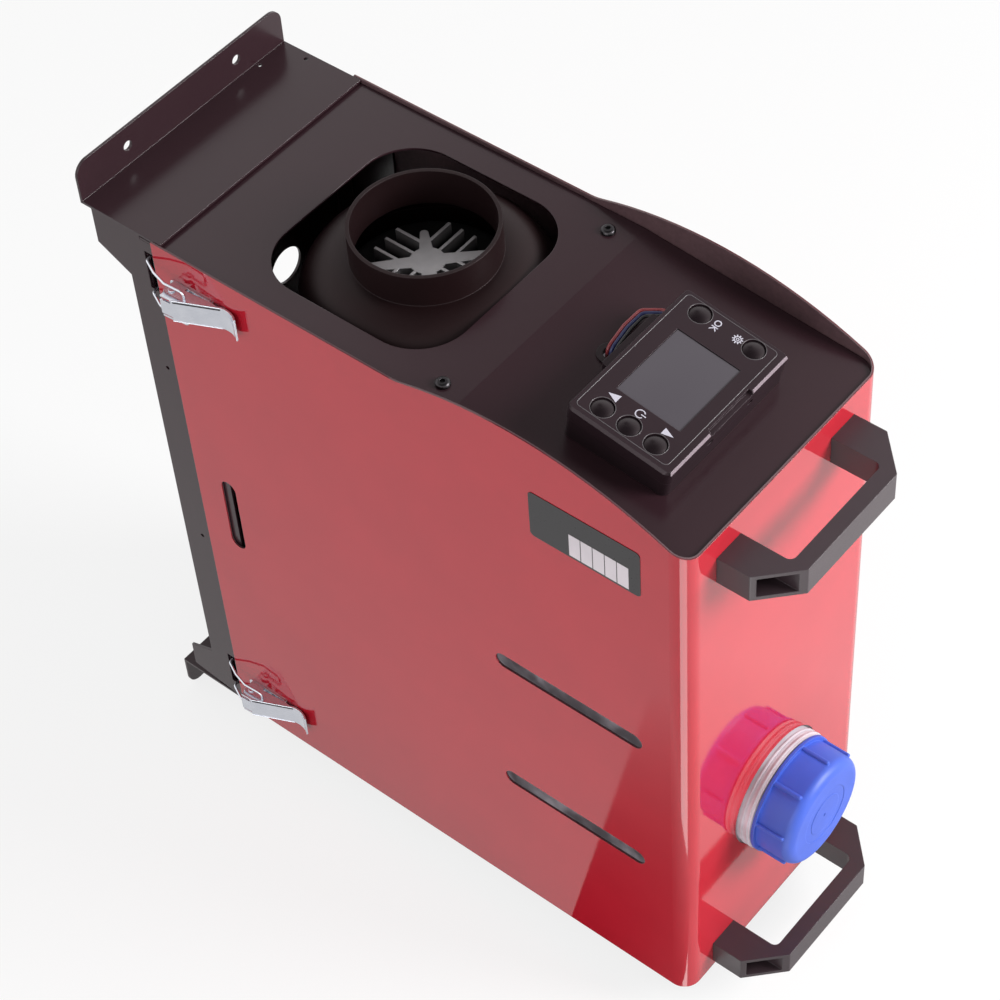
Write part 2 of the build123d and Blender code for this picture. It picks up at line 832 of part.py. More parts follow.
def make_filler_cap():
    face = -cap_back - cap_height
    body = pin_y(0, neck_height, face, -cap_back, cap_skirt_radius)
    body = fillet(body.edges().group_by(Axis.Y)[0], cap_edge_radius)
    body += pin_y(0, neck_height, -cap_back - cap_flange_thickness, -cap_back, cap_flange_radius)
    for rib in range(cap_rib_count):
        turn = cap_rib_turn + rib * 360 / cap_rib_count
        bar = slab(cap_bore_radius - 6, cap_rib_radius, face + cap_rib_start, -cap_back,
                   -cap_rib_width / 2, cap_rib_width / 2)
        outer = bar.edges().filter_by(Axis.Y).group_by(Axis.X)[-1]
        tip = bar.faces().sort_by(Axis.Y)[0].edges().sort_by(Axis.X)[1:]
        bar = fillet(outer + tip, 0.45 * cap_rib_width)
        body += Pos(0, 0, neck_height) * Rot(0, -turn, 0) * bar
    body -= pin_y(0, neck_height, face + cap_top_thickness, 0, cap_bore_radius)
    ring = pin_y(0, neck_height, face - 1, face + cap_ring_depth, cap_ring_outer)
    ring -= pin_y(0, neck_height, face - 1, face + cap_ring_depth, cap_ring_inner)
    return body - ring


def make_cap_seal():
    inside = -cap_back - cap_height + cap_top_thickness
    rear = inside + seal_thickness
    ring = pin_y(0, neck_height, inside + 0.05, rear, cap_bore_radius - 0.4)
    return ring - pin_y(0, neck_height, inside, rear + 1, neck_bore_radius + 1)


# ---- Heater -----------------------------------------------------------------------------
def drum(z0, z1, radius):
    return post(0, heater_from_front, z0, z1, radius)


def ring(z0, z1, radius, bore_radius):
    return drum(z0, z1, radius) - drum(z0 - 1, z1 + 1, bore_radius)


def make_inlet_cover():
    """Lower end cover of the heater: rim, hub and radial grille bars."""
    top = heater_base + inlet_cover_height
    cover = ring(heater_base, top, heater_radius, heater_radius - heater_wall)
    cover += drum(heater_base, heater_base + 3, 12)
    for radius in (26.0, 40.0, 54.0):
        cover += ring(heater_base, heater_base + 3, radius, radius - grille_bar)
    for bar in range(grille_bar_count):
        spoke = slab(10, heater_radius - 1, -grille_bar / 2, grille_bar / 2, heater_base, heater_base + 3)
        cover += Pos(0, heater_from_front, 0) * Rot(0, 0, bar * 360 / grille_bar_count) * spoke
    for x in (-38, 38):
        for y in (-38, 38):
            cover += post(x, heater_from_front + y, sheet, heater_base + 3, 5)
    return cover


def shell_half(side):
    """Half of the round heater shell; side -1 is towards the tank, 1 towards the wall."""
    low = heater_base + inlet_cover_height
    shell = ring(low, shell_top, heater_radius, heater_radius - heater_wall)
    split = heater_from_front + side * seat_gap / 2
    reach = side * (heater_radius + 5)
    keep = slab(-heater_radius - 5, heater_radius + 5, min(split, split + reach), max(split, split + reach),
                low, shell_top)
    return shell & keep


def make_shell_rear():
    shell = shell_half(1)
    window = slab(
        -pad_half - 1, pad_half + 1, heater_from_front, heater_from_front + heater_radius + 5,
        pad_base - 1, pad_base + pad_height + 1,
    )
    return shell - window


def make_outlet_hood():
    """Domed end cover that narrows to the duct tube."""
    tube_root = hood_shoulder + heater_radius - duct_radius
    dome_radius = heater_radius - duct_radius
    mid = dome_radius * sqrt(0.5)
    wall = heater_wall
    outer = Line((heater_radius, shell_top), (heater_radius, hood_shoulder))
    outer += ThreePointArc(
        (heater_radius, hood_shoulder), (duct_radius + mid, hood_shoulder + mid), (duct_radius, tube_root)
    )
    outer += Line((duct_radius, tube_root), (duct_radius, hood_top))
    bore = duct_radius - duct_wall
    outer += Line((duct_radius, hood_top), (bore, hood_top))
    outer += Line((bore, hood_top), (bore, tube_root - wall))
    inner_mid = (dome_radius - wall) * sqrt(0.5)
    outer += ThreePointArc(
        (bore, tube_root - wall), (duct_radius + inner_mid, hood_shoulder + inner_mid),
        (heater_radius - wall, hood_shoulder),
    )
    outer += Polyline((heater_radius - wall, hood_shoulder), (heater_radius - wall, shell_top),
                      (heater_radius, shell_top))
    profile = make_face(Plane.XZ * outer)
    return Pos(0, heater_from_front, 0) * revolve(profile, Axis.Z, 360)


def end_rib(reach):
    """Rib from the middle of the closed end outward, tapered and round at its tip."""
    taper = polygon([
        (0, -end_rib_root_half), (reach, -end_rib_half), (reach, end_rib_half), (0, end_rib_root_half),
    ])
    return taper + Pos(reach, 0) * Circle(end_rib_half)


def make_heat_exchanger():
    """Cast cup with upright fins outside and a ribbed closed end on top."""
    low = blower_base + blower_height
    section = Circle(exchanger_radius)
    for fin in range(fin_count):
        bar = Pos(exchanger_radius + fin_reach / 2 - 1, 0) * Rectangle(fin_reach + 2, fin_thickness)
        section += Rot(0, 0, fin * 360 / fin_count) * bar
    body = plan_sheet(Pos(0, heater_from_front) * section, low + 6, exchanger_top - 20)
    body += drum(low, exchanger_top, exchanger_radius)
    body = fillet(body.edges().group_by(Axis.Z)[-1], exchanger_cap - 1)
    pad_rear = heater_from_front + heater_radius
    body += slab(-pad_half, pad_half, heater_from_front + exchanger_radius - 8, pad_rear,
                 pad_base, pad_base + pad_height)
    body -= drum(low - 1, exchanger_top - exchanger_cap, exchanger_radius - exchanger_wall)
    body -= pin_y(-pipe_x, pipe_port_height, heater_from_front + 28, pad_rear + 1, exhaust_radius - pipe_wall)
    intake_y = pad_rear - intake_radius - 2
    body -= pin_y(pipe_x, pipe_port_height, intake_y, pad_rear + 1, intake_radius - pipe_wall)
    body -= post(pipe_x, intake_y, pad_base - 1, pipe_port_height, 7)
    body -= pin_x(heater_from_front, glow_plug_height, -heater_radius, 0, glow_plug_radius)
    top = Pos(0, heater_from_front, exchanger_top - 1)
    pattern = Circle(end_hub_radius)
    for quarter in range(4):
        reach = end_rib_stub if quarter == 0 else end_rib_reach
        pattern += Rot(0, 0, 45 + 90 * quarter) * end_rib(reach)
        for step in (-1, 0, 1):
            start = end_fin_start + abs(step) * end_fin_pitch / 4
            length = end_fin_end - start
            bar = Pos(start + length / 2, step * end_fin_pitch) * Rectangle(length, end_fin_thickness)
            pattern += Rot(0, 0, 90 * quarter) * bar
    body += top * extrude(pattern, end_rib_height + 1)
    return body


def make_burner_tube():
    low = blower_base + blower_height
    tube = ring(low, low + burner_length, burner_radius, burner_radius - burner_wall)
    flange = ring(low, low + 3, exchanger_radius - exchanger_wall - seat_gap, burner_radius - burner_wall)
    return tube + flange


def make_glow_plug():
    outer = -heater_radius + heater_wall + 2
    plug = pin_x(heater_from_front, glow_plug_height, outer, -burner_radius - 1, glow_plug_radius)
    hexagon = Rot(0, 90, 0) * extrude(RegularPolygon(1.6 * glow_plug_radius, 6), 5)
    return plug + Pos(outer, heater_from_front, glow_plug_height) * hexagon


def make_blower_housing():
    """Cup that holds the combustion fan, with a rim on the heater shell and a motor seat."""
    top = blower_base + blower_height
    housing = drum(blower_base, top, blower_radius)
    housing += ring(top - 4, top, heater_radius - heater_wall - seat_gap, blower_radius - 2)
    for slot in range(12):
        turn = slot * 30 + 15
        gap = slab(blower_radius + 1.5, heater_radius - heater_wall - 3, -5, 5, top - 5, top + 1)
        housing -= Pos(0, heater_from_front, 0) * Rot(0, 0, turn) * gap
    housing -= drum(blower_base + 4, top - 3, impeller_radius + 3)
    housing -= drum(top - 4, top + 1, 20)
    return housing - drum(blower_base - 1, top, shaft_radius + running_gap)


def make_motor():
    motor = drum(motor_base, motor_base + motor_length, motor_radius)
    return motor - drum(motor_base - 1, motor_base + motor_length + 1, shaft_radius + running_gap)


def make_rotor_shaft():
    return drum(fan_base - 2, blower_base + 4 + impeller_height + 2, shaft_radius)


def make_hot_air_fan():
    """Axial fan with a domed hub and pitched blades."""
    top = fan_base + fan_height
    hub = post(0, 0, fan_base, top, 18)
    hub = fillet(hub.edges().group_by(Axis.Z)[0], 6)
    blade = Pos(15 + (fan_radius - 15) / 2, 0, fan_base + fan_height / 2) * (
        Rot(35, 0, 0) * Box(fan_radius - 15, 22, 2)
    )
    blade &= slab(0, fan_radius, -20, 20, fan_base, top)
    fan = hub
    for count in range(fan_blade_count):
        fan += Rot(0, 0, count * 360 / fan_blade_count) * blade
    fan &= post(0, 0, fan_base, top, fan_radius)
    return Pos(0, heater_from_front, 0) * (fan - post(0, 0, 0, top + 1, shaft_radius))


def make_combustion_fan():
    """Flat wheel with radial blades."""
    low = blower_base + 5
    wheel = post(0, 0, low, low + 2, impeller_radius)
    wheel += post(0, 0, low, low + impeller_height, 8)
    for count in range(impeller_blade_count):
        blade = slab(12, impeller_radius - 1, -0.8, 0.8, low, low + impeller_height)
        wheel += Rot(0, 0, count * 360 / impeller_blade_count) * blade
    return Pos(0, heater_from_front, 0) * (wheel - post(0, 0, low - 1, low + 20, shaft_radius))


def make_control_unit():
    inner = heater_radius - heater_wall
    front = -sqrt(inner ** 2 - control_half ** 2) + seat_gap
    case = slab(-control_half, control_half, heater_from_front + front,
                heater_from_front + front + control_thickness, motor_base, motor_base + control_height)
    case = fillet(case.edges().filter_by(Axis.Z), 2)
    plug = slab(-12, 12, heater_from_front + front + control_thickness - 0.5,
                heater_from_front + front + control_thickness + 4, motor_base + 6, motor_base + 16)
    return case + plug


def make_mounting_plate():
    """Upright plate behind the heater that its cast pad is bolted to."""
    front = heater_from_front + heater_radius
    rear = front + mount_sheet
    plate = slab(-mount_half, mount_half, front, rear, sheet, pad_base + pad_height + mount_rise)
    plate += slab(-mount_half, mount_half, front, front + mount_foot, sheet, sheet + mount_sheet)
    for side, radius in ((-1, exhaust_radius), (1, intake_radius)):
        plate -= pin_y(side * pipe_x, pipe_port_height, front - 1, rear + 1, radius)
    plate -= pin_y(pump_x, feed_height, front - 1, rear + 1, hose_radius + 1)
    saddle = slab(pump_x - saddle_half, pump_x + saddle_half, rear, pump_from_front - 0.85 * pump_radius,
                  pump_base + saddle_low, pump_base + saddle_high)
    saddle -= post(pump_x, pump_from_front, pump_base, pump_base + pump_length, pump_radius)
    return plate + saddle


def make_elbow_pipe(x, radius):
    """Pipe from the heater's pad to the rear, then down through the bottom plate."""
    start = heater_from_front + heater_radius
    path = FilletPolyline(
        (x, start, pipe_port_height),
        (x, pipe_drop_from_front, pipe_port_height),
        (x, pipe_drop_from_front, -pipe_reach_below),
        radius=pipe_bend_radius,
    )
    bead_top = hose_push_length - pipe_reach_below + hose_bead_width
    bead = post(x, pipe_drop_from_front, bead_top - hose_bead_width, bead_top, radius + hose_bead_rise)
    bead -= post(x, pipe_drop_from_front, -pipe_reach_below, bead_top + 1, radius - pipe_wall / 2)
    return swept_tube(path, radius, radius - pipe_wall) + bead


# ---- Fuel pump, filter and hoses --------------------------------------------------------
def make_fuel_pump():
    top = pump_base + pump_length
    body = post(pump_x, pump_from_front, pump_base, top, pump_radius)
    body = fillet(body.edges().group_by(Axis.Z)[0] + body.edges().group_by(Axis.Z)[-1], 2)
    body += post(pump_x, pump_from_front, pump_base - nipple_length, top + nipple_length, hose_bore_radius)
    body -= post(pump_x, pump_from_front, pump_base + pump_end_wall, top - pump_end_wall, pump_bore_radius)
    bore = hose_bore_radius - nipple_wall
    return body - post(pump_x, pump_from_front, 0, top + 2 * nipple_length, bore)


def plunger_base():
    return pump_base + pump_end_wall + seat_gap


def make_pump_plunger():
    low = plunger_base()
    rod = post(pump_x, pump_from_front, low, low + plunger_length, pump_bore_radius - running_gap)
    return rod - post(pump_x, pump_from_front, low - 1, low + plunger_length + 1, 1.0)


def make_pump_spring():
    low = plunger_base() + plunger_length + 0.1 + spring_wire_radius
    high = pump_base + pump_length - pump_end_wall - spring_wire_radius - 0.1
    radius = pump_bore_radius - spring_wire_radius - 0.4
    path = Helix(pitch=(high - low) / spring_turns, height=high - low, radius=radius)
    coil = sweep(Plane(origin=path @ 0, z_dir=path % 0) * Circle(spring_wire_radius), path=path)
    return Pos(pump_x, pump_from_front, low) * coil


def make_fuel_filter():
    low = filter_base
    high = filter_base + filter_length
    body = post(filter_x, filter_from_front, low, high, filter_radius)
    body = fillet(body.edges().group_by(Axis.Z)[0] + body.edges().group_by(Axis.Z)[-1], 3)
    body += post(filter_x, filter_from_front, low - nipple_length, high + nipple_length, hose_bore_radius)
    bore = hose_bore_radius - nipple_wall
    return body - post(filter_x, filter_from_front, 0, high + 2 * nipple_length, bore)


def make_fuel_hoses():
    """Tank to filter, filter to pump, and pump to the heater's cast pad."""
    start = tank_rear + seat_gap + sheet
    filter_top = filter_base + filter_length
    pump_top = pump_base + pump_length
    pad_side = -pad_half
    pad_y = heater_from_front + heater_radius - 7.5
    supply = FilletPolyline(
        (spigot_x, start, spigot_height),
        (spigot_x, start + 14, spigot_height),
        (hose_lane, start + 36, spigot_height),
        (hose_lane, filter_from_front - 20, spigot_height),
        (filter_x, filter_from_front, spigot_height),
        (filter_x, filter_from_front, filter_base),
        radius=9,
    )
    link = FilletPolyline(
        (filter_x, filter_from_front, filter_top),
        (filter_x, filter_from_front, filter_top + 10),
        (pump_x, pump_from_front, pump_base - 10),
        (pump_x, pump_from_front, pump_base),
        radius=5,
    )
    feed = FilletPolyline(
        (pump_x, pump_from_front, pump_top),
        (pump_x, pump_from_front, feed_height),
        (pump_x, pad_y, feed_height),
        (pad_side, pad_y, feed_height),
        radius=4,
    )
    return solids_of([swept_tube(route, hose_radius, hose_bore_radius) for route in (supply, link, feed)])


def make_power_gland():
    """Cable gland in the back panel, with its through-hole."""
    front = back_panel_y - frame_sheet
    gland = pin_y(gland_x, gland_height, front - 8, back_panel_y + 10, gland_radius)
    gland += pin_y(gland_x, gland_height, front - 6, front, gland_radius + 4)
    gland += pin_y(gland_x, gland_height, back_panel_y, back_panel_y + 5, gland_radius + 4)
    return gland - pin_y(gland_x, gland_height, front - 9, back_panel_y + 11, gland_radius - 3.5)


# ---- Controller, drawn lying flat about its own middle -----------------------------------
def panel_outline(inset):
    return RectangleRounded(
        panel_length - 2 * inset, panel_width - 2 * inset, panel_corner_radius - 0.9 * inset
    )


def place_controller(shape):
    return on_slope(Pos(control_x, control_along, 0) * Rot(control_tilt, 0, 0) * shape)


def bezel_base():
    return back_shell_depth + shell_gap


def bezel_top():
    return bezel_base() + bezel_depth


def make_controller_back():
    """Wedge-shaped back with board posts, a cable tab behind it and a slot for the wires."""
    inset = 0.4
    shell = Pos(0, 0, -back_shell_floor) * extrude(panel_outline(inset), back_shell_depth + back_shell_floor)
    shell -= Pos(0, 0, back_shell_floor) * extrude(panel_outline(inset + shell_wall), back_shell_depth)
    for x in (-1, 1):
        for y in (-1, 1):
            corner = (x * (panel_length / 2 - 6), y * (panel_width / 2 - 12))
            shell += post(*corner, back_shell_floor, board_rise, 2.5)
    rear = panel_width / 2
    tab = slab(cable_tab_left, cable_tab_right, rear - 2, rear + cable_tab_reach,
               cable_tab_low, cable_tab_high)
    shell += fillet(tab.edges().filter_by(Axis.Z).group_by(Axis.Y)[-1], 1.5)
    wire_slot = slab(wire_exit - wire_exit_half, wire_exit + wire_exit_half, rear - 5, rear + 1,
                     back_shell_floor, back_shell_floor + 5)
    below = on_slope(slab(-case_width, case_width, -case_width, case_width, -3 * back_shell_floor, 0))
    return place_controller(shell - wire_slot) - below


def make_controller_front():
    top = bezel_top()
    walls = Pos(0, 0, bezel_base()) * extrude(panel_outline(0), bezel_depth - bevel_depth)
    bevel = loft([
        Pos(0, 0, top - bevel_depth) * panel_outline(0),
        Pos(0, 0, top) * RectangleRounded(face_length, face_width, panel_corner_radius / 2),
    ])
    shell = walls + bevel
    inside = extrude(panel_outline(shell_wall), bezel_depth + 1 - 1.5 * shell_wall)
    shell -= Pos(0, 0, bezel_base() - 1) * inside
    window = Pos(0, 0, top - 2 * shell_wall) * extrude(
        Rectangle(screen_length, screen_width), 3 * shell_wall
    )
    shell -= window
    for x, y in button_places.values():
        shell -= post(x, y, top - 2 * shell_wall, top + 1, button_radius + button_gap)
    for x in (-14, 16):
        shell -= slab(x - 2, x + 2, -panel_width / 2 - 1, -panel_width / 2 + 1.0,
                      bezel_base() - 1, bezel_base() + 2.5)
    edge = -panel_width / 2
    shell -= slab(bezel_notch_left, bezel_notch_right, edge - 1, edge + bezel_notch_reach,
                  top - bezel_notch_depth, top + 1)
    return place_controller(shell)


def make_controller_screen():
    top = bezel_top() - screen_recess
    glass = Pos(0, 0, top - screen_thickness)
    return place_controller(glass * extrude(
        Rectangle(screen_length - 0.2, screen_width - 0.2), screen_thickness
    ))


def make_controller_board():
    board = extrude(panel_outline(shell_wall + 1.0), board_thickness)
    tall = bezel_top() - screen_recess - screen_thickness - board_rise - board_thickness
    carrier = Pos(0, 0, board_thickness) * extrude(
        Rectangle(screen_length - 4, screen_width - 4), tall
    )
    return place_controller(Pos(0, 0, board_rise) * (board + carrier))


def make_button(x, y):
    """Domed push button with two lugs that keep it behind the bezel."""
    edge = bezel_top() - button_edge_drop
    low = back_shell_depth + button_travel + 0.3
    dome_radius = (button_radius ** 2 + button_dome_rise ** 2) / (2 * button_dome_rise)
    button = post(x, y, low, edge + button_dome_rise, button_radius)
    button &= Pos(x, y, edge + button_dome_rise - dome_radius) * Sphere(dome_radius)
    under = bezel_top() - 1.5 * shell_wall - 0.3
    reach = button_radius + button_lug
    button += slab(x - 2, x + 2, y - reach, y + reach, under - 1, under)
    return place_controller(button)


def make_grommet():
    collar = post(wire_hole_x, wire_hole_along, -sheet, 0, wire_hole_radius)
    for low in (0, -sheet - 1.0):
        collar += post(wire_hole_x, wire_hole_along, low, low + 1.0, wire_hole_radius + 1.6)
    return on_slope(collar - post(wire_hole_x, wire_hole_along, -4, 3, wire_hole_radius - 1.4))


def beside(points, shift):
    """Route drawn in plan, moved sideways to its right by shift."""
    moved = []
    for index, (x, y, z) in enumerate(points):
        before = points[max(index - 1, 0)]
        after = points[min(index + 1, len(points) - 1)]
        turns = []
        for start, end in ((before, (x, y)), ((x, y), after)):
            run = hypot(end[0] - start[0], end[1] - start[1])
            if run > 0:
                turns.append(((end[1] - start[1]) / run, (start[0] - end[0]) / run))
        first = turns[0]
        last = turns[-1]
        reach = shift / (1 + first[0] * last[0] + first[1] * last[1])
        moved.append((x + reach * (first[0] + last[0]), y + reach * (first[1] + last[1]), z))
    return moved


def make_wire(shift):
    """One strand from the controller's rear edge, round behind the tab and down the grommet."""
    route = beside([
        (control_x + wire_exit, control_along + 23, 7.4),
        (control_x + wire_exit - 1, 92.6, 6.4),
        (26.0, 99.8, 5.4),
        (15.0, 100.2, 4.6),
        (wire_hole_x, wire_hole_along, 3.6),
    ], shift)
    route.append((route[-1][0], route[-1][1], -14))
    return on_slope(swept_rod(FilletPolyline(*route, radius=4.0), wire_radius))


# ---- All nodes --------------------------------------------------------------------------
save("top_plate", make_top_plate())
save("bottom_plate", make_bottom_plate())
right_rail = make_side_rail()
save("side_rail_right", right_rail)
save("side_rail_left", mirror(right_rail, about=Plane.YZ))
save("back_panel", make_back_panel())
save("casing", make_casing())
save("floor_pan", make_floor_pan())
save("bulkhead", make_bulkhead())
save("top_cover", make_top_cover())
save("screws", make_screws())
save("handles", solids_of([make_handle(height) for height in handle_heights]))
save("data_plate", make_data_plate())

right_bases = [make_latch_base(height) for height in latch_heights]
save("latch_bases", solids_of(right_bases + [mirror(base, about=Plane.YZ) for base in right_bases]))
save("latch_rivets", make_latch_rivets())
for name, height in zip(("lower", "upper"), latch_heights):
    lever = make_latch_lever(height)
    bail = make_latch_bail(height)
    save("latch_lever_right_" + name, lever)
    save("latch_lever_left_" + name, mirror(lever, about=Plane.YZ))
    save("latch_bail_right_" + name, bail)
    save("latch_bail_left_" + name, mirror(bail, about=Plane.YZ))

save("fuel_tank", make_fuel_tank())
save("filler_cap", make_filler_cap())
save("cap_seal", make_cap_seal())
save("inlet_cover", make_inlet_cover())
save("heater_shell_front", shell_half(-1))
save("heater_shell_rear", make_shell_rear())
save("outlet_hood", make_outlet_hood())
save("heat_exchanger", make_heat_exchanger())
save("burner_tube", make_burner_tube())
save("glow_plug", make_glow_plug())
save("blower_housing", make_blower_housing())
save("motor", make_motor())
save("rotor_shaft", make_rotor_shaft())
save("hot_air_fan", make_hot_air_fan())
save("combustion_fan", make_combustion_fan())
save("control_unit", make_control_unit())
save("mounting_plate", make_mounting_plate())
save("exhaust_pipe", make_elbow_pipe(-pipe_x, exhaust_radius))
save("intake_pipe", make_elbow_pipe(pipe_x, intake_radius))
save("fuel_pump", make_fuel_pump())
save("pump_plunger", make_pump_plunger())
save("pump_spring", make_pump_spring())
save("fuel_filter", make_fuel_filter())
save("fuel_hoses", make_fuel_hoses())
save("power_gland", make_power_gland())

save("controller_back", make_controller_back())
save("controller_front", make_controller_front())
save("controller_screen", make_controller_screen())
save("controller_board", make_controller_board())
for name, (x, y) in button_places.items():
    save(name, make_button(x, y))
save("wire_grommet", make_grommet())
for name, side in (("wire_red", 1), ("wire_blue", 0), ("wire_black", -1)):
    save(name, make_wire(side * wire_spacing))
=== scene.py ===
import json
from math import cos, pi, radians, sin

import bmesh
import bpy
from mathutils import Matrix, Vector


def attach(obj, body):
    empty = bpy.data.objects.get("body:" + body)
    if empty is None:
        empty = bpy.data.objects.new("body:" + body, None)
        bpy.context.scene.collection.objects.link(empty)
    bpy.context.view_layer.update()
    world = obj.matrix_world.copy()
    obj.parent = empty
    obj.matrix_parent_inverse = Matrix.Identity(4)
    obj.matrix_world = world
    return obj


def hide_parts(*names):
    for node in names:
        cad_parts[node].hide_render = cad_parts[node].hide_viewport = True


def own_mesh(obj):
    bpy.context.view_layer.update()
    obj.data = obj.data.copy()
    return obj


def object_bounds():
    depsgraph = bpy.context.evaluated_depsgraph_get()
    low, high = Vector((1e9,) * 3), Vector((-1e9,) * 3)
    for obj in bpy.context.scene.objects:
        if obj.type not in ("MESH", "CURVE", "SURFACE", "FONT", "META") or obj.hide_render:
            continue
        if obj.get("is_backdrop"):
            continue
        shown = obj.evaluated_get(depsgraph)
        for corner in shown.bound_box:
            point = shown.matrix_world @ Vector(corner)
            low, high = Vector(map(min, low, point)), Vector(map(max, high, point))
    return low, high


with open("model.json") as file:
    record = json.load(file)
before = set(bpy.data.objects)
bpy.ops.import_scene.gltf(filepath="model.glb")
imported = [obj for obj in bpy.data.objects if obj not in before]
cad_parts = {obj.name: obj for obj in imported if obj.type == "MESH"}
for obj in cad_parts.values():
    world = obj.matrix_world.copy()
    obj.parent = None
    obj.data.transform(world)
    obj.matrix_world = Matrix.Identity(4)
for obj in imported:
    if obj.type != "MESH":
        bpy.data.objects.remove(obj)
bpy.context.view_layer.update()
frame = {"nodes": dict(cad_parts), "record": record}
record = frame["record"]
print("frame loaded:", len(frame["nodes"]), "nodes")

mm = 0.001
wallDepth = 367.0        # front face of the case to the wall
undersideHeight = 11.2   # underside of the case above the lower wall holes
mergeGap = 0.001 * mm    # points nearer than this are one point


def casePoint(across, depth, height):
    # millimetres across, behind the front face and above the underside, to metres
    return Vector((across, depth - wallDepth, height + undersideHeight)) * mm


def caseShift(across, depth, height):
    return Matrix.Translation(casePoint(across, depth, height))


def shift(x, y, z):
    return Matrix.Translation(Vector((x, y, z)) * mm)


def tilted(degrees):
    # a turn round the X axis
    return Matrix.Rotation(radians(degrees), 4, "X")


def linked(name, data):
    # a new object in the scene
    made = bpy.data.objects.new(name, data)
    bpy.context.scene.collection.objects.link(made)
    return made


def rgb(colour, shade=1.0):
    return (colour[0] * shade, colour[1] * shade, colour[2] * shade, 1.0)


# node benches: shader and geometry trees are written through these

class Signal:
    # a socket that takes part in arithmetic: each operator adds one Math node
    def __init__(self, bench, socket):
        self.bench = bench
        self.socket = socket

    def out(self, name):
        return Signal(self.bench, self.socket.node.outputs[name])

    def maths(self, operation, first, second=0.0, clamp=False):
        settings = {"operation": operation, "use_clamp": clamp}
        return self.bench.node("ShaderNodeMath", settings, {0: first, 1: second})

    def __add__(self, other):
        return self.maths("ADD", self, other)

    def __radd__(self, other):
        return self.maths("ADD", other, self)

    def __sub__(self, other):
        return self.maths("SUBTRACT", self, other)

    def __rsub__(self, other):
        return self.maths("SUBTRACT", other, self)

    def __mul__(self, other):
        return self.maths("MULTIPLY", self, other)

    def __rmul__(self, other):
        return self.maths("MULTIPLY", other, self)

    def __pow__(self, other):
        return self.maths("POWER", self, other)

    def __abs__(self):
        return self.maths("ABSOLUTE", self)

    def __neg__(self):
        return self.maths("MULTIPLY", self, -1.0)

    def most(self, other):
        return self.maths("MAXIMUM", self, other)

    def least(self, other):
        return self.maths("MINIMUM", self, other)

    def above(self, level):
        return self.maths("GREATER_THAN", self, level)

    def clamped(self):
        return self.maths("ADD", self, 0.0, clamp=True)


class Bench:
    # a node tree and the one method that adds nodes to it
    def __init__(self, tree):
        self.tree = tree

    def node(self, kind, settings=None, sockets=None, output=0):
        made = self.tree.nodes.new(kind)
        for name, value in (settings or {}).items():
            setattr(made, name, value)
        for name, value in (sockets or {}).items():
            if isinstance(value, Signal):
                self.tree.links.new(value.socket, made.inputs[name])
            else:
                made.inputs[name].default_value = value
        return Signal(self, made.outputs[output] if made.outputs else None)

    def vectorMaths(self, operation, first, second, output="Vector"):
        return self.node("ShaderNodeVectorMath", {"operation": operation}, {0: first, 1: second}, output)


class Finish(Bench):
    # one material of the heater
    noiseRoughness = 0.55
    edgeSamples = 4

    def __init__(self, name):
        self.material = bpy.data.materials.new(name)
        self.material.use_nodes = True
        self.material.node_tree.nodes.clear()
        super().__init__(self.material.node_tree)

    def place(self):
        return self.node("ShaderNodeTexCoord", output="Object")

    def noise(self, size, detail, stretch=None):
        point = self.place()
        if stretch:
            point = self.node("ShaderNodeMapping", {}, {"Vector": point, "Scale": stretch})
        sockets = {"Vector": point, "Scale": 1.0 / size, "Detail": detail, "Roughness": self.noiseRoughness}
        return self.node("ShaderNodeTexNoise", {}, sockets)

    def speckle(self, size):
        sockets = {"Vector": self.place(), "Scale": 1.0 / size}
        return self.node("ShaderNodeTexVoronoi", {}, sockets, "Distance")

    def softEdge(self, radius):
        return self.node("ShaderNodeBevel", {"samples": self.edgeSamples}, {"Radius": radius})

    def edgeMask(self, soft, gain):
        facing = self.node("ShaderNodeNewGeometry", output="True Normal")
        dot = self.vectorMaths("DOT_PRODUCT", soft, facing, "Value")
        return ((1.0 - dot) * gain).clamped()

    def relief(self, height, depth, soft):
        sockets = {"Strength": 1.0, "Distance": depth, "Height": height, "Normal": soft}
        return self.node("ShaderNodeBump", {}, sockets)

    def blend(self, amount, first, second):
        return self.node("ShaderNodeMix", {"data_type": "RGBA"}, {0: amount, 6: first, 7: second}, 2)

    def surface(self, sockets):
        shader = self.node("ShaderNodeBsdfPrincipled", {}, sockets)
        self.node("ShaderNodeOutputMaterial", {}, {"Surface": shader})
        return self.material


# finishes: one look for each material of the heater

redCoat = {
    "colour": (0.48, 0.014, 0.028), "deepColour": (0.40, 0.010, 0.022),
    "roughness": 0.055, "roughnessSpread": 0.03, "ior": 1.56,
    "peelSize": 1.5 * mm, "peelDepth": 0.010 * mm, "fineSize": 0.45 * mm, "fineShare": 0.12,
    "patchSize": 45 * mm, "dustSize": 2.2 * mm, "dustShades": (0.55, 1.3), "halfWidth": 75 * mm,
    "oversprayAndShadeColour": (0.115, 0.062, 0.070), "edgeColour": (0.045, 0.014, 0.019), "insideRoughness": 0.5,
    "edgeRadius": 0.35 * mm, "edgeShade": 0.85, "edgeFacing": 0.7, "cornerRadius": 10 * mm, "wall": 0.6 * mm,
}


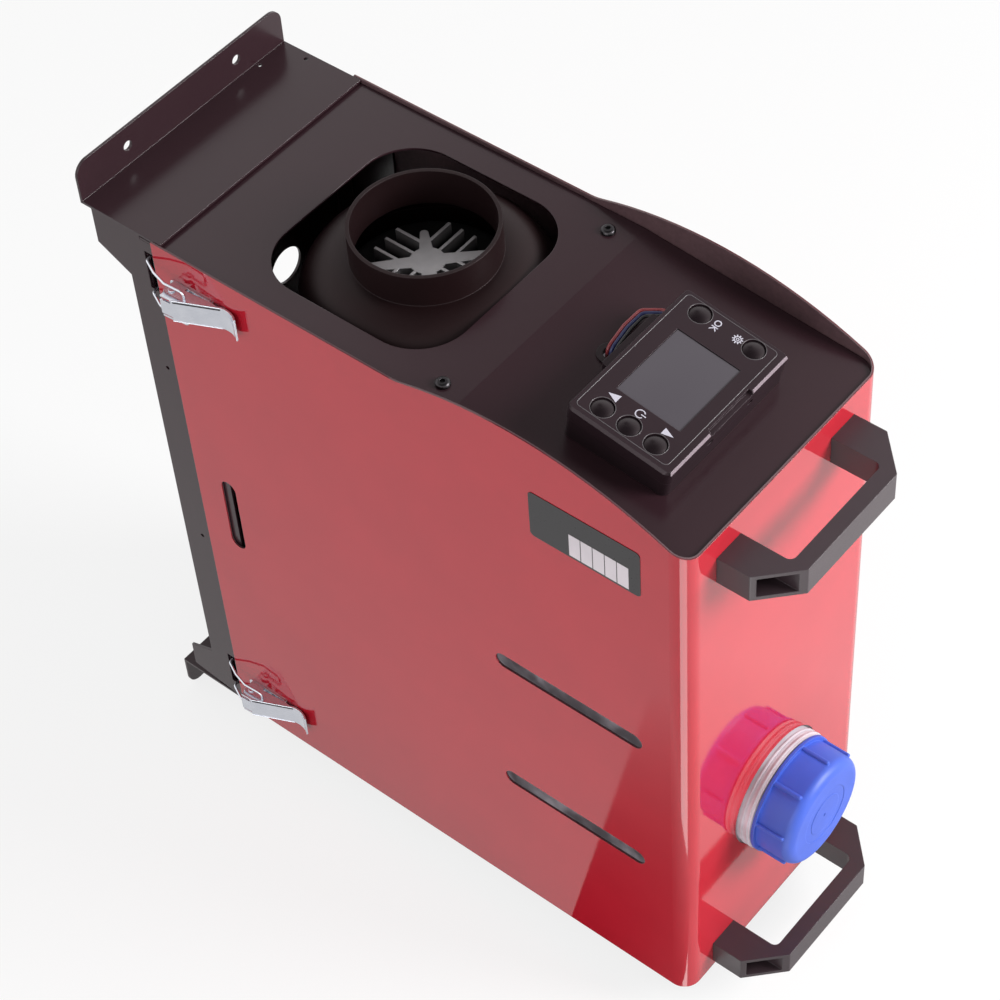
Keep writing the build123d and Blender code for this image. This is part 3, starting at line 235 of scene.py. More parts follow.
def redPowderCoat():
    look = redCoat
    coat = Finish("redPowderCoat")
    axes = coat.node("ShaderNodeSeparateXYZ", {}, {0: coat.place()}, "X")
    # distance from the rounded outline of the case, so that the inner faces take a darker tone: partly the
    # thin black overspray, partly painted shade
    halfWidth = look["halfWidth"] - look["cornerRadius"]
    halfDepth = wallDepth * mm - look["cornerRadius"]
    sideways = abs(axes) - halfWidth
    forward = -axes.out("Y") - halfDepth
    corner = (sideways.most(0.0) ** 2.0 + forward.most(0.0) ** 2.0) ** 0.5
    depth = corner + sideways.most(forward).least(0.0) - look["cornerRadius"]
    facing = coat.node("ShaderNodeNewGeometry", output="True Normal")
    upright = coat.node("ShaderNodeSeparateXYZ", {}, {0: facing}, "Z")
    # the sheet's cut edges, which look up or down, take painted shade for the dark sky they reflect
    cutEdgeShade = abs(upright).above(look["edgeFacing"])
    # the inner faces: partly the thin overspray, partly painted shade
    oversprayAndShade = 1.0 - depth.above(-look["wall"])
    patches = coat.noise(look["patchSize"], detail=3.0)
    colour = coat.blend(patches, rgb(look["deepColour"]), rgb(look["colour"]))
    dust = coat.noise(look["dustSize"], detail=4.0)
    oversprayAndShadeTone = coat.blend(dust, *(rgb(look["oversprayAndShadeColour"], shade) for shade in look["dustShades"]))
    soft = coat.softEdge(look["edgeRadius"])
    fine = coat.noise(look["fineSize"], detail=1.0) * look["fineShare"]
    peel = coat.noise(look["peelSize"], detail=1.5) + fine
    gloss = look["roughness"] + (patches - 0.5) * look["roughnessSpread"]
    colour = coat.blend(oversprayAndShade, colour, oversprayAndShadeTone)
    return coat.surface({
        "Base Color": coat.blend(cutEdgeShade * look["edgeShade"], colour, rgb(look["edgeColour"])),
        "Roughness": gloss + oversprayAndShade * (look["insideRoughness"] - look["roughness"]),
        "IOR": look["ior"],
        "Normal": coat.relief(peel, look["peelDepth"], soft),
    })


blackCoat = {
    "colour": (0.0245, 0.0095, 0.0132), "paleColour": (0.0320, 0.0138, 0.0182),
    "edgeColour": (0.090, 0.070, 0.076),
    "roughness": 0.23, "roughnessSpread": 0.07, "ior": 1.42,
    "grainSize": 0.75 * mm, "grainDepth": 0.012 * mm, "grainShare": 0.3, "cloudSize": 60 * mm,
    "edgeRadius": 0.4 * mm, "edgeGain": 1.6, "edgeWearAndHighlight": 0.35, "edgeGrain": 0.5, "edgePolish": 0.06,
}


def blackPowderCoat():
    look = blackCoat
    coat = Finish("blackPowderCoat")
    soft = coat.softEdge(look["edgeRadius"])
    # lighter edges: partly the thin coat at the edges, partly a painted highlight
    wornAndHighlit = coat.edgeMask(soft, look["edgeGain"])
    grain = coat.noise(look["grainSize"], detail=3.0)
    cloud = coat.noise(look["cloudSize"], detail=3.0)
    tone = cloud * (1.0 - look["grainShare"]) + grain * look["grainShare"]
    colour = coat.blend(tone, rgb(look["colour"]), rgb(look["paleColour"]))
    wearAndHighlight = wornAndHighlit * (look["edgeWearAndHighlight"] + grain * look["edgeGrain"])
    return coat.surface({
        "Base Color": coat.blend(wearAndHighlight, colour, rgb(look["edgeColour"])),
        "Roughness": look["roughness"] + (grain - 0.5) * look["roughnessSpread"] - wornAndHighlit * look["edgePolish"],
        "IOR": look["ior"],
        "Normal": coat.relief(grain, look["grainDepth"], soft),
    })


# bare metals: what all of them share, then for each its tone, worn tone, roughness and its spread, and the
# drawn lines' size, stretch and depth; the cast exchanger is darker below a height, painted shade deep in the
# duct
metalWear = {"cloudSize": 7 * mm, "cloud": 0.6, "lines": 0.4, "rubbed": 0.5, "edgeGain": 1.5,
             "paintedShadeTone": 0.12}
metals = {
    "zincPlate": {"colour": (0.56, 0.58, 0.65), "paleColour": (0.80, 0.81, 0.86), "roughness": 0.22,
                  "spread": 0.18, "lineSize": 0.9 * mm, "stretch": (1.0, 0.35, 1.0), "depth": 0.004 * mm,
                  "radius": 0.35 * mm},
    "satinStainless": {"colour": (0.50, 0.49, 0.47), "paleColour": (0.68, 0.67, 0.65), "roughness": 0.28,
                       "spread": 0.14, "lineSize": 0.6 * mm, "stretch": (1.0, 1.0, 0.1), "depth": 0.004 * mm,
                       "radius": 0.3 * mm},
    "machinedSteel": {"colour": (0.42, 0.42, 0.43), "paleColour": (0.60, 0.60, 0.61), "roughness": 0.25,
                      "spread": 0.12, "lineSize": 0.4 * mm, "stretch": (0.2, 0.2, 1.0), "depth": 0.003 * mm,
                      "radius": 0.2 * mm},
    "castAluminium": {"colour": (0.36, 0.34, 0.35), "paleColour": (0.56, 0.54, 0.55), "roughness": 0.58,
                      "spread": 0.2, "lineSize": 0.8 * mm, "stretch": (1.0, 1.0, 1.0), "depth": 0.05 * mm,
                      "radius": 0.6 * mm, "paintedShadeTop": 368.0 * mm, "paintedShadeDepth": 6.0 * mm},
    "motorCan": {"colour": (0.10, 0.10, 0.11), "paleColour": (0.17, 0.17, 0.18), "roughness": 0.34,
                 "spread": 0.1, "lineSize": 0.7 * mm, "stretch": (1.0, 1.0, 0.3), "depth": 0.006 * mm,
                 "radius": 0.5 * mm},
    "blackOxide": {"colour": (0.030, 0.028, 0.030), "paleColour": (0.065, 0.060, 0.064), "roughness": 0.30,
                   "spread": 0.16, "lineSize": 0.35 * mm, "stretch": (1.0, 1.0, 1.0), "depth": 0.006 * mm,
                   "radius": 0.3 * mm},
}


def bareMetal(name):
    look = metalWear | metals[name]
    metal = Finish(name)
    soft = metal.softEdge(look["radius"])
    rubbed = metal.edgeMask(soft, look["edgeGain"])
    lines = metal.noise(look["lineSize"], detail=4.0, stretch=look["stretch"])
    cloud = metal.noise(look["cloudSize"], detail=3.0)
    tone = (cloud * look["cloud"] + lines * look["lines"] + rubbed * look["rubbed"]).clamped()
    colour = metal.blend(tone, rgb(look["colour"]), rgb(look["paleColour"]))
    if "paintedShadeTop" in look:
        # painted shade: the exchanger is darker the deeper it lies below its top
        height = metal.node("ShaderNodeSeparateXYZ", {}, {0: metal.place()}, "Z")
        paintedShade = ((look["paintedShadeTop"] - height) * (1.0 / look["paintedShadeDepth"])).clamped()
        colour = metal.blend(paintedShade, colour, rgb(look["colour"], look["paintedShadeTone"]))
    return metal.surface({
        "Base Color": colour,
        "Metallic": 1.0,
        "Roughness": look["roughness"] + (lines - 0.5) * look["spread"],
        "Normal": metal.relief(lines, look["depth"], soft),
    })


# moulded parts: what all of them share unless one says otherwise, then for each its tone, edge tone
# (a painted highlight along the edges), roughness and its spread, and the surface texture's size and depth;
# only the thin-walled tank has a glow, painted light that stands in for the faint light that soaks through it
plasticTone = {"cloudSize": 22 * mm, "shades": (0.86, 1.14), "edgeGain": 1.4, "edgeShare": 0.6,
               "ior": 1.5, "tint": (1.0, 1.0, 1.0),
               "glow": 0.0, "paintedGlowFrom": 0.42, "paintedGlowGain": 4.0, "paintedGlowShades": (0.5, 2.0)}
plastics = {
    "handlePlastic": {"colour": (0.036, 0.022, 0.027), "edgeColour": (0.110, 0.092, 0.100), "roughness": 0.36,
                      "spread": 0.18, "size": 0.55 * mm, "depth": 0.035 * mm, "radius": 0.6 * mm},
    "panelPlastic": {"colour": (0.019, 0.0105, 0.0135), "edgeColour": (0.13, 0.115, 0.12), "roughness": 0.30,
                     "ior": 1.38, "tint": (1.0, 0.86, 0.91), "spread": 0.12, "size": 0.35 * mm,
                     "depth": 0.010 * mm, "radius": 0.35 * mm},
    # the rims' pale tone is a painted highlight
    "rimPlastic": {"colour": (0.085, 0.074, 0.080), "edgeColour": (0.16, 0.145, 0.15), "roughness": 0.34,
                   "spread": 0.12, "size": 0.3 * mm, "depth": 0.004 * mm, "radius": 0.1 * mm},
    # pale strips on the controller's front bevel: a painted highlight
    "rubbedPlastic": {"colour": (0.22, 0.17, 0.195), "edgeColour": (0.24, 0.20, 0.22), "roughness": 0.34,
                      "spread": 0.14, "size": 0.5 * mm, "depth": 0.003 * mm, "radius": 0.05 * mm},
    "buttonPlastic": {"colour": (0.0085, 0.0055, 0.0068), "edgeColour": (0.050, 0.042, 0.046),
                      "roughness": 0.26, "ior": 1.38, "tint": (1.0, 0.84, 0.88), "spread": 0.08,
                      "size": 0.4 * mm, "depth": 0.003 * mm, "radius": 0.25 * mm},
    "ductPlastic": {"colour": (0.0080, 0.0030, 0.0034), "edgeColour": (0.070, 0.060, 0.063),
                    "roughness": 0.46, "ior": 1.30, "tint": (1.0, 0.80, 0.82), "spread": 0.12,
                    "size": 1.6 * mm, "depth": 0.012 * mm, "radius": 0.7 * mm},
    "glandPlastic": {"colour": (0.016, 0.015, 0.016), "edgeColour": (0.05, 0.05, 0.05), "roughness": 0.42,
                     "spread": 0.12, "size": 0.5 * mm, "depth": 0.012 * mm, "radius": 0.4 * mm},
    # the tank's glow is painted light, standing in for the light that soaks through its thin wall
    "tankPlastic": {"colour": (0.43, 0.39, 0.43), "edgeColour": (0.48, 0.44, 0.48), "roughness": 0.46,
                    "spread": 0.10, "size": 6.0 * mm, "depth": 0.03 * mm, "radius": 0.8 * mm, "glow": 0.22},
    "capPlastic": {"colour": (0.036, 0.090, 0.50), "edgeColour": (0.10, 0.20, 0.78), "roughness": 0.47,
                   "spread": 0.06, "size": 4.0 * mm, "depth": 0.012 * mm, "radius": 0.7 * mm},
    "plateFilm": {"colour": (0.016, 0.014, 0.016), "edgeColour": (0.06, 0.055, 0.06), "roughness": 0.30,
                  "spread": 0.14, "size": 1.2 * mm, "depth": 0.006 * mm, "radius": 0.15 * mm},
    "blackRubber": {"colour": (0.010, 0.0065, 0.0075), "edgeColour": (0.03, 0.024, 0.026), "roughness": 0.55,
                    "ior": 1.36, "tint": (1.0, 0.84, 0.88), "spread": 0.14, "size": 0.7 * mm,
                    "depth": 0.020 * mm, "radius": 0.5 * mm},
    "redInsulation": {"colour": (0.27, 0.038, 0.045), "edgeColour": (0.50, 0.05, 0.05), "roughness": 0.38,
                      "spread": 0.1, "size": 0.8 * mm, "depth": 0.006 * mm, "radius": 0.2 * mm},
    "blueInsulation": {"colour": (0.022, 0.030, 0.11), "edgeColour": (0.04, 0.05, 0.15), "roughness": 0.38,
                       "spread": 0.1, "size": 0.8 * mm, "depth": 0.006 * mm, "radius": 0.2 * mm},
    "blackInsulation": {"colour": (0.016, 0.014, 0.016), "edgeColour": (0.04, 0.04, 0.04), "roughness": 0.38,
                        "spread": 0.1, "size": 0.8 * mm, "depth": 0.006 * mm, "radius": 0.2 * mm},
    "whiteInk": {"colour": (0.50, 0.48, 0.55), "edgeColour": (0.60, 0.58, 0.65), "roughness": 0.45,
                 "spread": 0.1, "size": 0.5 * mm, "depth": 0.002 * mm, "radius": 0.05 * mm},
    "whiteLabel": {"colour": (0.66, 0.60, 0.64), "edgeColour": (0.70, 0.66, 0.70), "roughness": 0.34,
                   "spread": 0.1, "size": 1.1 * mm, "depth": 0.003 * mm, "radius": 0.05 * mm},
}


def mouldedPlastic(name):
    look = plasticTone | plastics[name]
    plastic = Finish(name)
    soft = plastic.softEdge(look["radius"])
    # lighter edges: a painted highlight
    lip = plastic.edgeMask(soft, look["edgeGain"])
    texture = plastic.noise(look["size"], detail=3.0)
    cloud = plastic.noise(look["cloudSize"], detail=3.0)
    colour = plastic.blend(cloud, *(rgb(look["colour"], shade) for shade in look["shades"]))
    # painted glow: its colour in patches; only the tank's glow is above nought
    paintedGlowPatches = ((cloud - look["paintedGlowFrom"]) * look["paintedGlowGain"]).clamped()
    light = plastic.blend(paintedGlowPatches, *(rgb(look["colour"], shade) for shade in look["paintedGlowShades"]))
    return plastic.surface({
        "Base Color": plastic.blend(lip * look["edgeShare"], colour, rgb(look["edgeColour"])),
        "Roughness": look["roughness"] + (texture - 0.5) * look["spread"],
        "IOR": look["ior"],
        "Specular Tint": rgb(look["tint"]),
        "Emission Color": light,
        "Emission Strength": look["glow"],
        "Normal": plastic.relief(texture, look["depth"], soft),
    })


screenGlass = {"colour": (0.064, 0.055, 0.066), "paleColour": (0.078, 0.069, 0.080), "roughness": 0.24,
               "spread": 0.1, "ior": 1.46, "matSize": 0.25 * mm, "matDepth": 0.002 * mm, "bandSize": 40 * mm,
               "radius": 0.15 * mm}


def satinScreen():
    look = screenGlass
    glass = Finish("satinScreen")
    band = glass.noise(look["bandSize"], detail=0.0)
    mat = glass.noise(look["matSize"], detail=1.0)
    return glass.surface({
        "Base Color": glass.blend(band, rgb(look["colour"]), rgb(look["paleColour"])),
        "Roughness": look["roughness"] + (mat - 0.5) * look["spread"],
        "IOR": look["ior"],
        "Normal": glass.relief(mat, look["matDepth"], glass.softEdge(look["radius"])),
    })


boardLook = {"lacquer": (0.010, 0.085, 0.035), "track": (0.030, 0.17, 0.07), "trackSize": 3.2 * mm,
             "trackFrom": 0.42, "trackDepth": 0.03 * mm, "roughness": 0.3, "trackDullness": 0.12,
             "radius": 0.2 * mm}


def circuitBoard():
    look = boardLook
    board = Finish("circuitBoard")
    tracks = board.speckle(look["trackSize"]).above(look["trackFrom"])
    return board.surface({
        "Base Color": board.blend(tracks, rgb(look["lacquer"]), rgb(look["track"])),
        "Roughness": look["roughness"] + tracks * look["trackDullness"],
        "Normal": board.relief(tracks, look["trackDepth"], board.softEdge(look["radius"])),
    })


finishes = {name: bareMetal(name) for name in metals}
finishes.update({name: mouldedPlastic(name) for name in plastics})
finishes.update({
    "redPowderCoat": redPowderCoat(), "blackPowderCoat": blackPowderCoat(),
    "satinScreen": satinScreen(), "circuitBoard": circuitBoard(),
})

slotFinish = {
    "red_paint": "redPowderCoat", "black_paint": "blackPowderCoat", "zinc": "zincPlate",
    "stainless": "satinStainless", "steel": "machinedSteel", "black_screw": "blackOxide",
    "black_plastic": "handlePlastic", "heater_plastic": "ductPlastic", "plate_film": "plateFilm",
    "tank_plastic": "tankPlastic", "cap_plastic": "capPlastic", "rubber": "blackRubber",
    "cast_aluminium": "castAluminium", "screen": "satinScreen", "button_plastic": "buttonPlastic",
    "circuit_board": "circuitBoard", "motor_can": "motorCan", "wire_red": "redInsulation",
    "wire_blue": "blueInsulation", "wire_black": "blackInsulation",
}
nodeFinish = {"controller_front": "panelPlastic", "controller_back": "panelPlastic",
              "power_gland": "glandPlastic"}

for subpart in record["subparts"]:
    name = subpart["node"]
    finish = finishes[nodeFinish.get(name) or slotFinish[subpart["material_slot"]]]
    for place in frame["nodes"][name].material_slots:
        place.material = finish
print("finishes made:", len(finishes))


# extra pieces that the frame's parts don't have

def pieceFrom(mesh, name, finish, body, turn=None):
    if turn is not None:
        mesh.transform(turn)
    mesh.materials.clear()
    mesh.materials.append(finishes[finish])
    piece = linked(name, mesh)
    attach(piece, body)
    return piece


def thicken(flat, thickness):
    # open flat faces get a thickness downwards
    lower = bmesh.ops.extrude_face_region(flat, geom=flat.faces[:])["geom"]
    for part in lower:
        if isinstance(part, bmesh.types.BMVert):
            part.co.z -= thickness * mm
    bmesh.ops.recalc_face_normals(flat, faces=flat.faces)


def thickened(mesh, thickness):
    # the same for the flat mesh that a geometry tree has grown
    solid = bmesh.new()
    solid.from_mesh(mesh)
    thicken(solid, thickness)
    solid.to_mesh(mesh)
    solid.free()
    return mesh


def finished(shape, name):
    # a bmesh becomes a mesh
    mesh = bpy.data.meshes.new(name)
    shape.to_mesh(mesh)
    shape.free()
    return mesh


def platesMesh(name, outlines, thickness):
    # flat outlines, joined where they share points
    plates = bmesh.new()
    for outline in outlines:
        plates.faces.new([plates.verts.new((x * mm, y * mm, 0.0)) for x, y in outline])
    bmesh.ops.remove_doubles(plates, verts=plates.verts, dist=mergeGap)
    thicken(plates, thickness)
    return finished(plates, name)


def joinedMesh(name, meshes):
    whole = bmesh.new()
    for mesh in meshes:
        whole.from_mesh(mesh)
        bpy.data.meshes.remove(mesh)
    return finished(whole, name)


def lathedMesh(name, profile, steps):
    # profile of (radius, height) in millimetres from the axis at the bottom to the axis at the top
    turned = bmesh.new()
    points = [turned.verts.new((radius * mm, 0.0, height * mm)) for radius, height in profile]
    edges = [turned.edges.new(pair) for pair in zip(points, points[1:])]
    bmesh.ops.spin(turned, geom=points + edges, angle=2 * pi, steps=steps, axis=(0, 0, 1), cent=(0, 0, 0))
    bmesh.ops.remove_doubles(turned, verts=turned.verts, dist=mergeGap)
    bmesh.ops.recalc_face_normals(turned, faces=turned.faces)
    for face in turned.faces:
        face.smooth = True
    return finished(turned, name)


class Growth(Bench):
    # a geometry tree with named inputs, and the plain mesh that it grows
    kinds = {int: "NodeSocketInt", float: "NodeSocketFloat"}

    def __init__(self, name, inputs):
        super().__init__(bpy.data.node_groups.new(name, "GeometryNodeTree"))
        sides = self.tree.interface
        self.sockets = {}
        for label, value in inputs.items():
            made = sides.new_socket(label, in_out="INPUT", socket_type=self.kinds[type(value)])
            self.sockets[label] = made.identifier
        sides.new_socket("Geometry", in_out="OUTPUT", socket_type="NodeSocketGeometry")
        self.inputs = inputs
        self.name = name
        self.start = self.node("NodeGroupInput")

    def given(self, label):
        return self.start.out(label)

    def circle(self, steps, radius):
        return self.node("GeometryNodeCurvePrimitiveCircle", {}, {"Resolution": steps, "Radius": radius})

    def bead(self, path, steps, capped=False):
        # a round bead along a path, whose radius is the tree's Thickness
        section = self.circle(steps, self.given("Thickness"))
        sockets = {"Curve": path, "Profile Curve": section, "Fill Caps": capped}
        return self.node("GeometryNodeCurveToMesh", {}, sockets)

    def plate(self, length, width):
        sockets = {"Size X": length, "Size Y": width, "Vertices X": 2, "Vertices Y": 2}
        return self.node("GeometryNodeMeshGrid", {}, sockets)

    def row(self, count, offset, start=(0.0, 0.0, 0.0)):
        sockets = {"Count": count, "Start Location": start, "Offset": offset}
        return self.node("GeometryNodeMeshLine", {"mode": "OFFSET"}, sockets)

    def shifted(self, shape, offset):
        return self.node("GeometryNodeTransform", {}, {"Geometry": shape, "Translation": offset})

    def vector(self, x=0.0, y=0.0, z=0.0):
        return self.node("ShaderNodeCombineXYZ", {}, {0: x, 1: y, 2: z})

    def repeated(self, points, shape, turn=None):
        sockets = {"Points": points, "Instance": shape}
        if turn is not None:
            sockets["Rotation"] = self.node("FunctionNodeEulerToRotation", {}, {0: turn})
        return self.node("GeometryNodeInstanceOnPoints", {}, sockets)

    def joined(self, *shapes):
        join = self.node("GeometryNodeJoinGeometry")
        for shape in shapes:
            self.tree.links.new(shape.socket, join.socket.node.inputs[0])
        return join

    def mesh(self, shape, finish):
        solid = self.node("GeometryNodeRealizeInstances", {}, {0: shape})
        painted = self.node("GeometryNodeSetMaterial", {}, {"Geometry": solid, "Material": finishes[finish]})
        self.node("NodeGroupOutput", {}, {0: painted})
        holder = linked(self.name, bpy.data.meshes.new(self.name))
        grower = holder.modifiers.new(self.name, "NODES")
        grower.node_group = self.tree
        for label, value in self.inputs.items():
            grower[self.sockets[label]] = value
        grown = holder.evaluated_get(bpy.context.evaluated_depsgraph_get())
        mesh = bpy.data.meshes.new_from_object(grown)
        holder.modifiers.remove(grower)
        bpy.data.objects.remove(holder)
        return mesh


# controller: printed marks and moulded lines

controller = {
    "slopeStart": (0.0, 1.5, 351.9), "slopeAngle": 5.5606, "tilt": 4.0, "across": -5.0, "along": 58.2,
    "faceTop": 19.5, "inkThickness": 0.05,
}


def controllerPlace(across, along, height):
    # from the panel's own plane (across, along the slope, out of it) in millimetres to the row frame
    look = controller
    slope = caseShift(*look["slopeStart"]) @ tilted(look["slopeAngle"])
    wedge = shift(look["across"], look["along"], 0.0) @ tilted(look["tilt"])
    return slope @ wedge @ shift(across, along, height)


def ringSector(inner, outer, start, end, steps):
    outlines = []
    for step in range(steps):
        low = radians(start + (end - start) * step / steps)
        high = radians(start + (end - start) * (step + 1) / steps)
        corners = ((inner, low), (outer, low), (outer, high), (inner, high))
        outlines.append([(radius * cos(angle), radius * sin(angle)) for radius, angle in corners])
    return outlines


gearMark = {"Teeth": 10, "Reach": 2.1 * mm, "Tooth Width": 0.62 * mm, "Tooth Length": 1.1 * mm,
            "Rim": 1.85 * mm, "Inside": 1.35 * mm, "Hub": 0.85 * mm, "Bore": 0.45 * mm, "Lift": 0.004 * mm}


def gearMesh():
    gear = Growth("gearMark", gearMark)
    spots = gear.node("GeometryNodeMeshCircle", {"fill_type": "NONE"},
                      {"Vertices": gear.given("Teeth"), "Radius": gear.given("Reach")})
    tooth = gear.plate(gear.given("Tooth Length"), gear.given("Tooth Width"))
    index = gear.node("GeometryNodeInputIndex")
    step = index.maths("DIVIDE", 2 * pi, gear.given("Teeth"))
    teeth = gear.repeated(spots, tooth, gear.vector(z=index * step))
    rims = [gear.circle(40, gear.given(label)) for label in ("Rim", "Inside", "Hub", "Bore")]
    disc = gear.node("GeometryNodeFillCurve", {}, {0: gear.joined(*rims)})
    lifted = gear.shifted(disc, gear.vector(z=gear.given("Lift")))
    return gear.mesh(gear.joined(teeth, lifted), "whiteInk")


def letteringMesh(words, size, boldness):
    letters = bpy.data.curves.new(words, "FONT")
    letters.body = words
    letters.size = size * mm
    letters.align_x = "CENTER"
    letters.align_y = "CENTER"
    letters.extrude = controller["inkThickness"] / 2 * mm
    letters.offset = boldness * mm
    holder = linked(words, letters)
    mesh = bpy.data.meshes.new_from_object(holder.evaluated_get(bpy.context.evaluated_depsgraph_get()))
    bpy.data.objects.remove(holder)
    return mesh


# where each mark stands on the face, and its outline; the power ring's are its inner and outer radius,
# its start and end in degrees, and its steps
markSpots = {"ok": (35.8, 6.0), "gear": (36.1, -6.2), "rearward": (-27.2, 15.9), "forward": (-27.4, -14.8),
             "power": (-27.0, 1.1)}
markShapes = {"letterSize": 4.9, "letterBoldness": 0.05, "rearward": [(-2.3, -2.8), (2.3, -2.8), (0.1, 3.0)],
              "forward": [(2.0, 2.8), (-2.0, 2.8), (-0.1, -3.0)], "powerRing": (1.95, 2.5, -55, 235, 28),
              "powerBar": [(-0.28, -3.1), (0.28, -3.1), (0.28, -0.5), (-0.28, -0.5)]}


def buttonMarks():
    look = markShapes
    ink = controller["inkThickness"]
    top = controller["faceTop"] + ink
    letters = letteringMesh("OK", look["letterSize"], look["letterBoldness"])
    letters.transform(Matrix.Rotation(pi, 4, "Z") @ shift(0.0, 0.0, -ink / 2))
    power = ringSector(*look["powerRing"]) + [look["powerBar"]]
    drawn = {
        "ok": letters,
        "gear": thickened(gearMesh(), ink),
        "rearward": platesMesh("rearArrow", [look["rearward"]], ink),
        "forward": platesMesh("frontArrow", [look["forward"]], ink),
        "power": platesMesh("powerMark", power, ink),
    }
    for name, mesh in drawn.items():
        mesh.transform(controllerPlace(*markSpots[name], top))
    marks = joinedMesh("buttonMarks", drawn.values())
    return pieceFrom(marks, "buttonMarks", "whiteInk", "case")


buttonMarks()


faceLine = {"Length": 84.2 * mm, "Width": 51.1 * mm, "Corner": 2.2 * mm, "Thickness": 0.20 * mm}
faceLineMiddle = (0.3, 0.75)


def controllerFaceLine():
    # the thin moulded line that runs round the controller's face; its pale tone is a painted highlight on the
    # step's edge
    line = Growth("faceLine", faceLine)
    loop = line.node("GeometryNodeCurvePrimitiveQuadrilateral", {"mode": "RECTANGLE"},
                     {"Width": line.given("Length"), "Height": line.given("Width")})
    rounded = line.node("GeometryNodeFilletCurve", {"mode": "POLY"}, {
        "Curve": loop, "Radius": line.given("Corner"), "Count": 6})
    mesh = line.mesh(line.bead(rounded, 8), "rimPlastic")
    turn = controllerPlace(*faceLineMiddle, controller["faceTop"])
    return pieceFrom(mesh, "controllerFaceLine", "rimPlastic", "case", turn)


controllerFaceLine()

buttonSpots = [(36.5, 15.2), (36.5, -15.1), (-35.5, 15.6), (-35.5, 0.8), (-35.5, -14.0)]
buttonRim = {"Radius": 5.85 * mm, "Thickness": 0.17 * mm}


def buttonRims():
    # a fine raised rim round each button's hole; its pale tone is a painted highlight on the lit edge of the
    # gap
    rim = Growth("buttonRim", buttonRim)
    bead = rim.bead(rim.circle(48, rim.given("Radius")), 8)
    rims = [rim.shifted(bead, (x * mm, y * mm, 0.0)) for x, y in buttonSpots]
    mesh = rim.mesh(rim.joined(*rims), "rimPlastic")
    turn = controllerPlace(0.0, 0.0, controller["faceTop"])
    return pieceFrom(mesh, "buttonRims", "rimPlastic", "case", turn)


buttonRims()

# the front edge of the face carries pale strips on both sides of its middle, a painted highlight of the
# bevel's glint
frontEdgeGlint = {"spans": ((-44.0, -14.5), (17.5, 44.0)), "along": -28.62, "height": 18.70, "width": 1.80,
              "thickness": 0.08, "taper": 0.5, "lean": 62.1}


def controllerFrontGlint():
    look = frontEdgeGlint
    half = look["width"] / 2
    strips = []
    for start, end in look["spans"]:
        outline = [(start, -half), (end, -half), (end - look["taper"], half), (start + look["taper"], half)]
        strips.append(platesMesh("frontEdgeGlint", [outline], look["thickness"]))
    mesh = joinedMesh("controllerFrontGlint", strips)
    turn = controllerPlace(0.0, look["along"], look["height"]) @ tilted(look["lean"])
    turn = turn @ shift(0.0, 0.0, look["thickness"] / 2)
    return pieceFrom(mesh, "controllerFrontGlint", "rubbedPlastic", "case", turn)


controllerFrontGlint()
print("controller marked")


# data plate

plateTable = {"Cells": 5, "Pitch": 6.84 * mm, "Cell Width": 6.35 * mm, "Cell Height": 14.6 * mm}
plateTablePlace = {"side": -75.3, "depth": 48.9, "height": 322.6, "thickness": 0.06}


def plateCells():
    # a blank ruled table: white cells in a row on the black film
    look = plateTablePlace
    cells = Growth("plateCells", plateTable)
    start = -0.5 * (plateTable["Cells"] - 1) * plateTable["Pitch"]
    row = cells.row(cells.given("Cells"), cells.vector(x=cells.given("Pitch")), (start, 0.0, 0.0))
    cell = cells.plate(cells.given("Cell Width"), cells.given("Cell Height"))
    mesh = thickened(cells.mesh(cells.repeated(row, cell), "whiteLabel"), look["thickness"])
    # the row runs towards the front, upright, and faces out of the left side
    facing = Matrix(((0, 0, -1, 0), (-1, 0, 0, 0), (0, 1, 0, 0), (0, 0, 0, 1)))
    turn = caseShift(look["side"] - look["thickness"], look["depth"], look["height"]) @ facing
    return pieceFrom(mesh, "plateCells", "whiteLabel", "case", turn)


plateCells()
print("data plate ruled")


# filler neck and cap

neckBeads = {"Beads": 1, "Spacing": 4.6 * mm, "Radius": 33.28 * mm, "Thickness": 0.18 * mm}
neckPlace = {"height": 105.5, "firstBead": -3.4}


def fillerNeckBeads():
    # the moulded bead round the white collar behind the cap
    neck = Growth("neckBeads", neckBeads)
    bead = neck.bead(neck.circle(96, neck.given("Radius")), 10)
    row = neck.row(neck.given("Beads"), neck.vector(z=neck.given("Spacing")))
    mesh = neck.mesh(neck.repeated(row, bead), "tankPlastic")
    turn = caseShift(0.0, neckPlace["firstBead"], neckPlace["height"]) @ tilted(90.0)
    return pieceFrom(mesh, "fillerNeckBeads", "tankPlastic", "case", turn)


fillerNeckBeads()

gateMark = {"radius": 1.1, "bore": 0.55, "rise": 0.22, "sunk": 0.1, "lip": 0.9, "brow": 0.8, "steps": 28,
            "face": -30.6, "height": 105.5}


def capGateMark():
    # the moulding gate in the middle of the cap's face
    look = gateMark
    lip = (look["radius"] * look["lip"], look["rise"] * look["brow"])
    profile = [(0.0, -look["sunk"]), (look["radius"], -look["sunk"]), lip,
               (look["bore"], look["rise"]), (look["bore"] * look["brow"], 0.0), (0.0, 0.0)]
    mesh = lathedMesh("capGateMark", profile, look["steps"])
    turn = caseShift(0.0, look["face"], look["height"]) @ tilted(90.0)
    return pieceFrom(mesh, "capGateMark", "capPlastic", "cap", turn)


capGateMark()
print("filler neck and cap dressed")


# latch levers: rolled edges along the sloping face, and beside the upper one a dark strip, the painted shade
# of a pressed crease

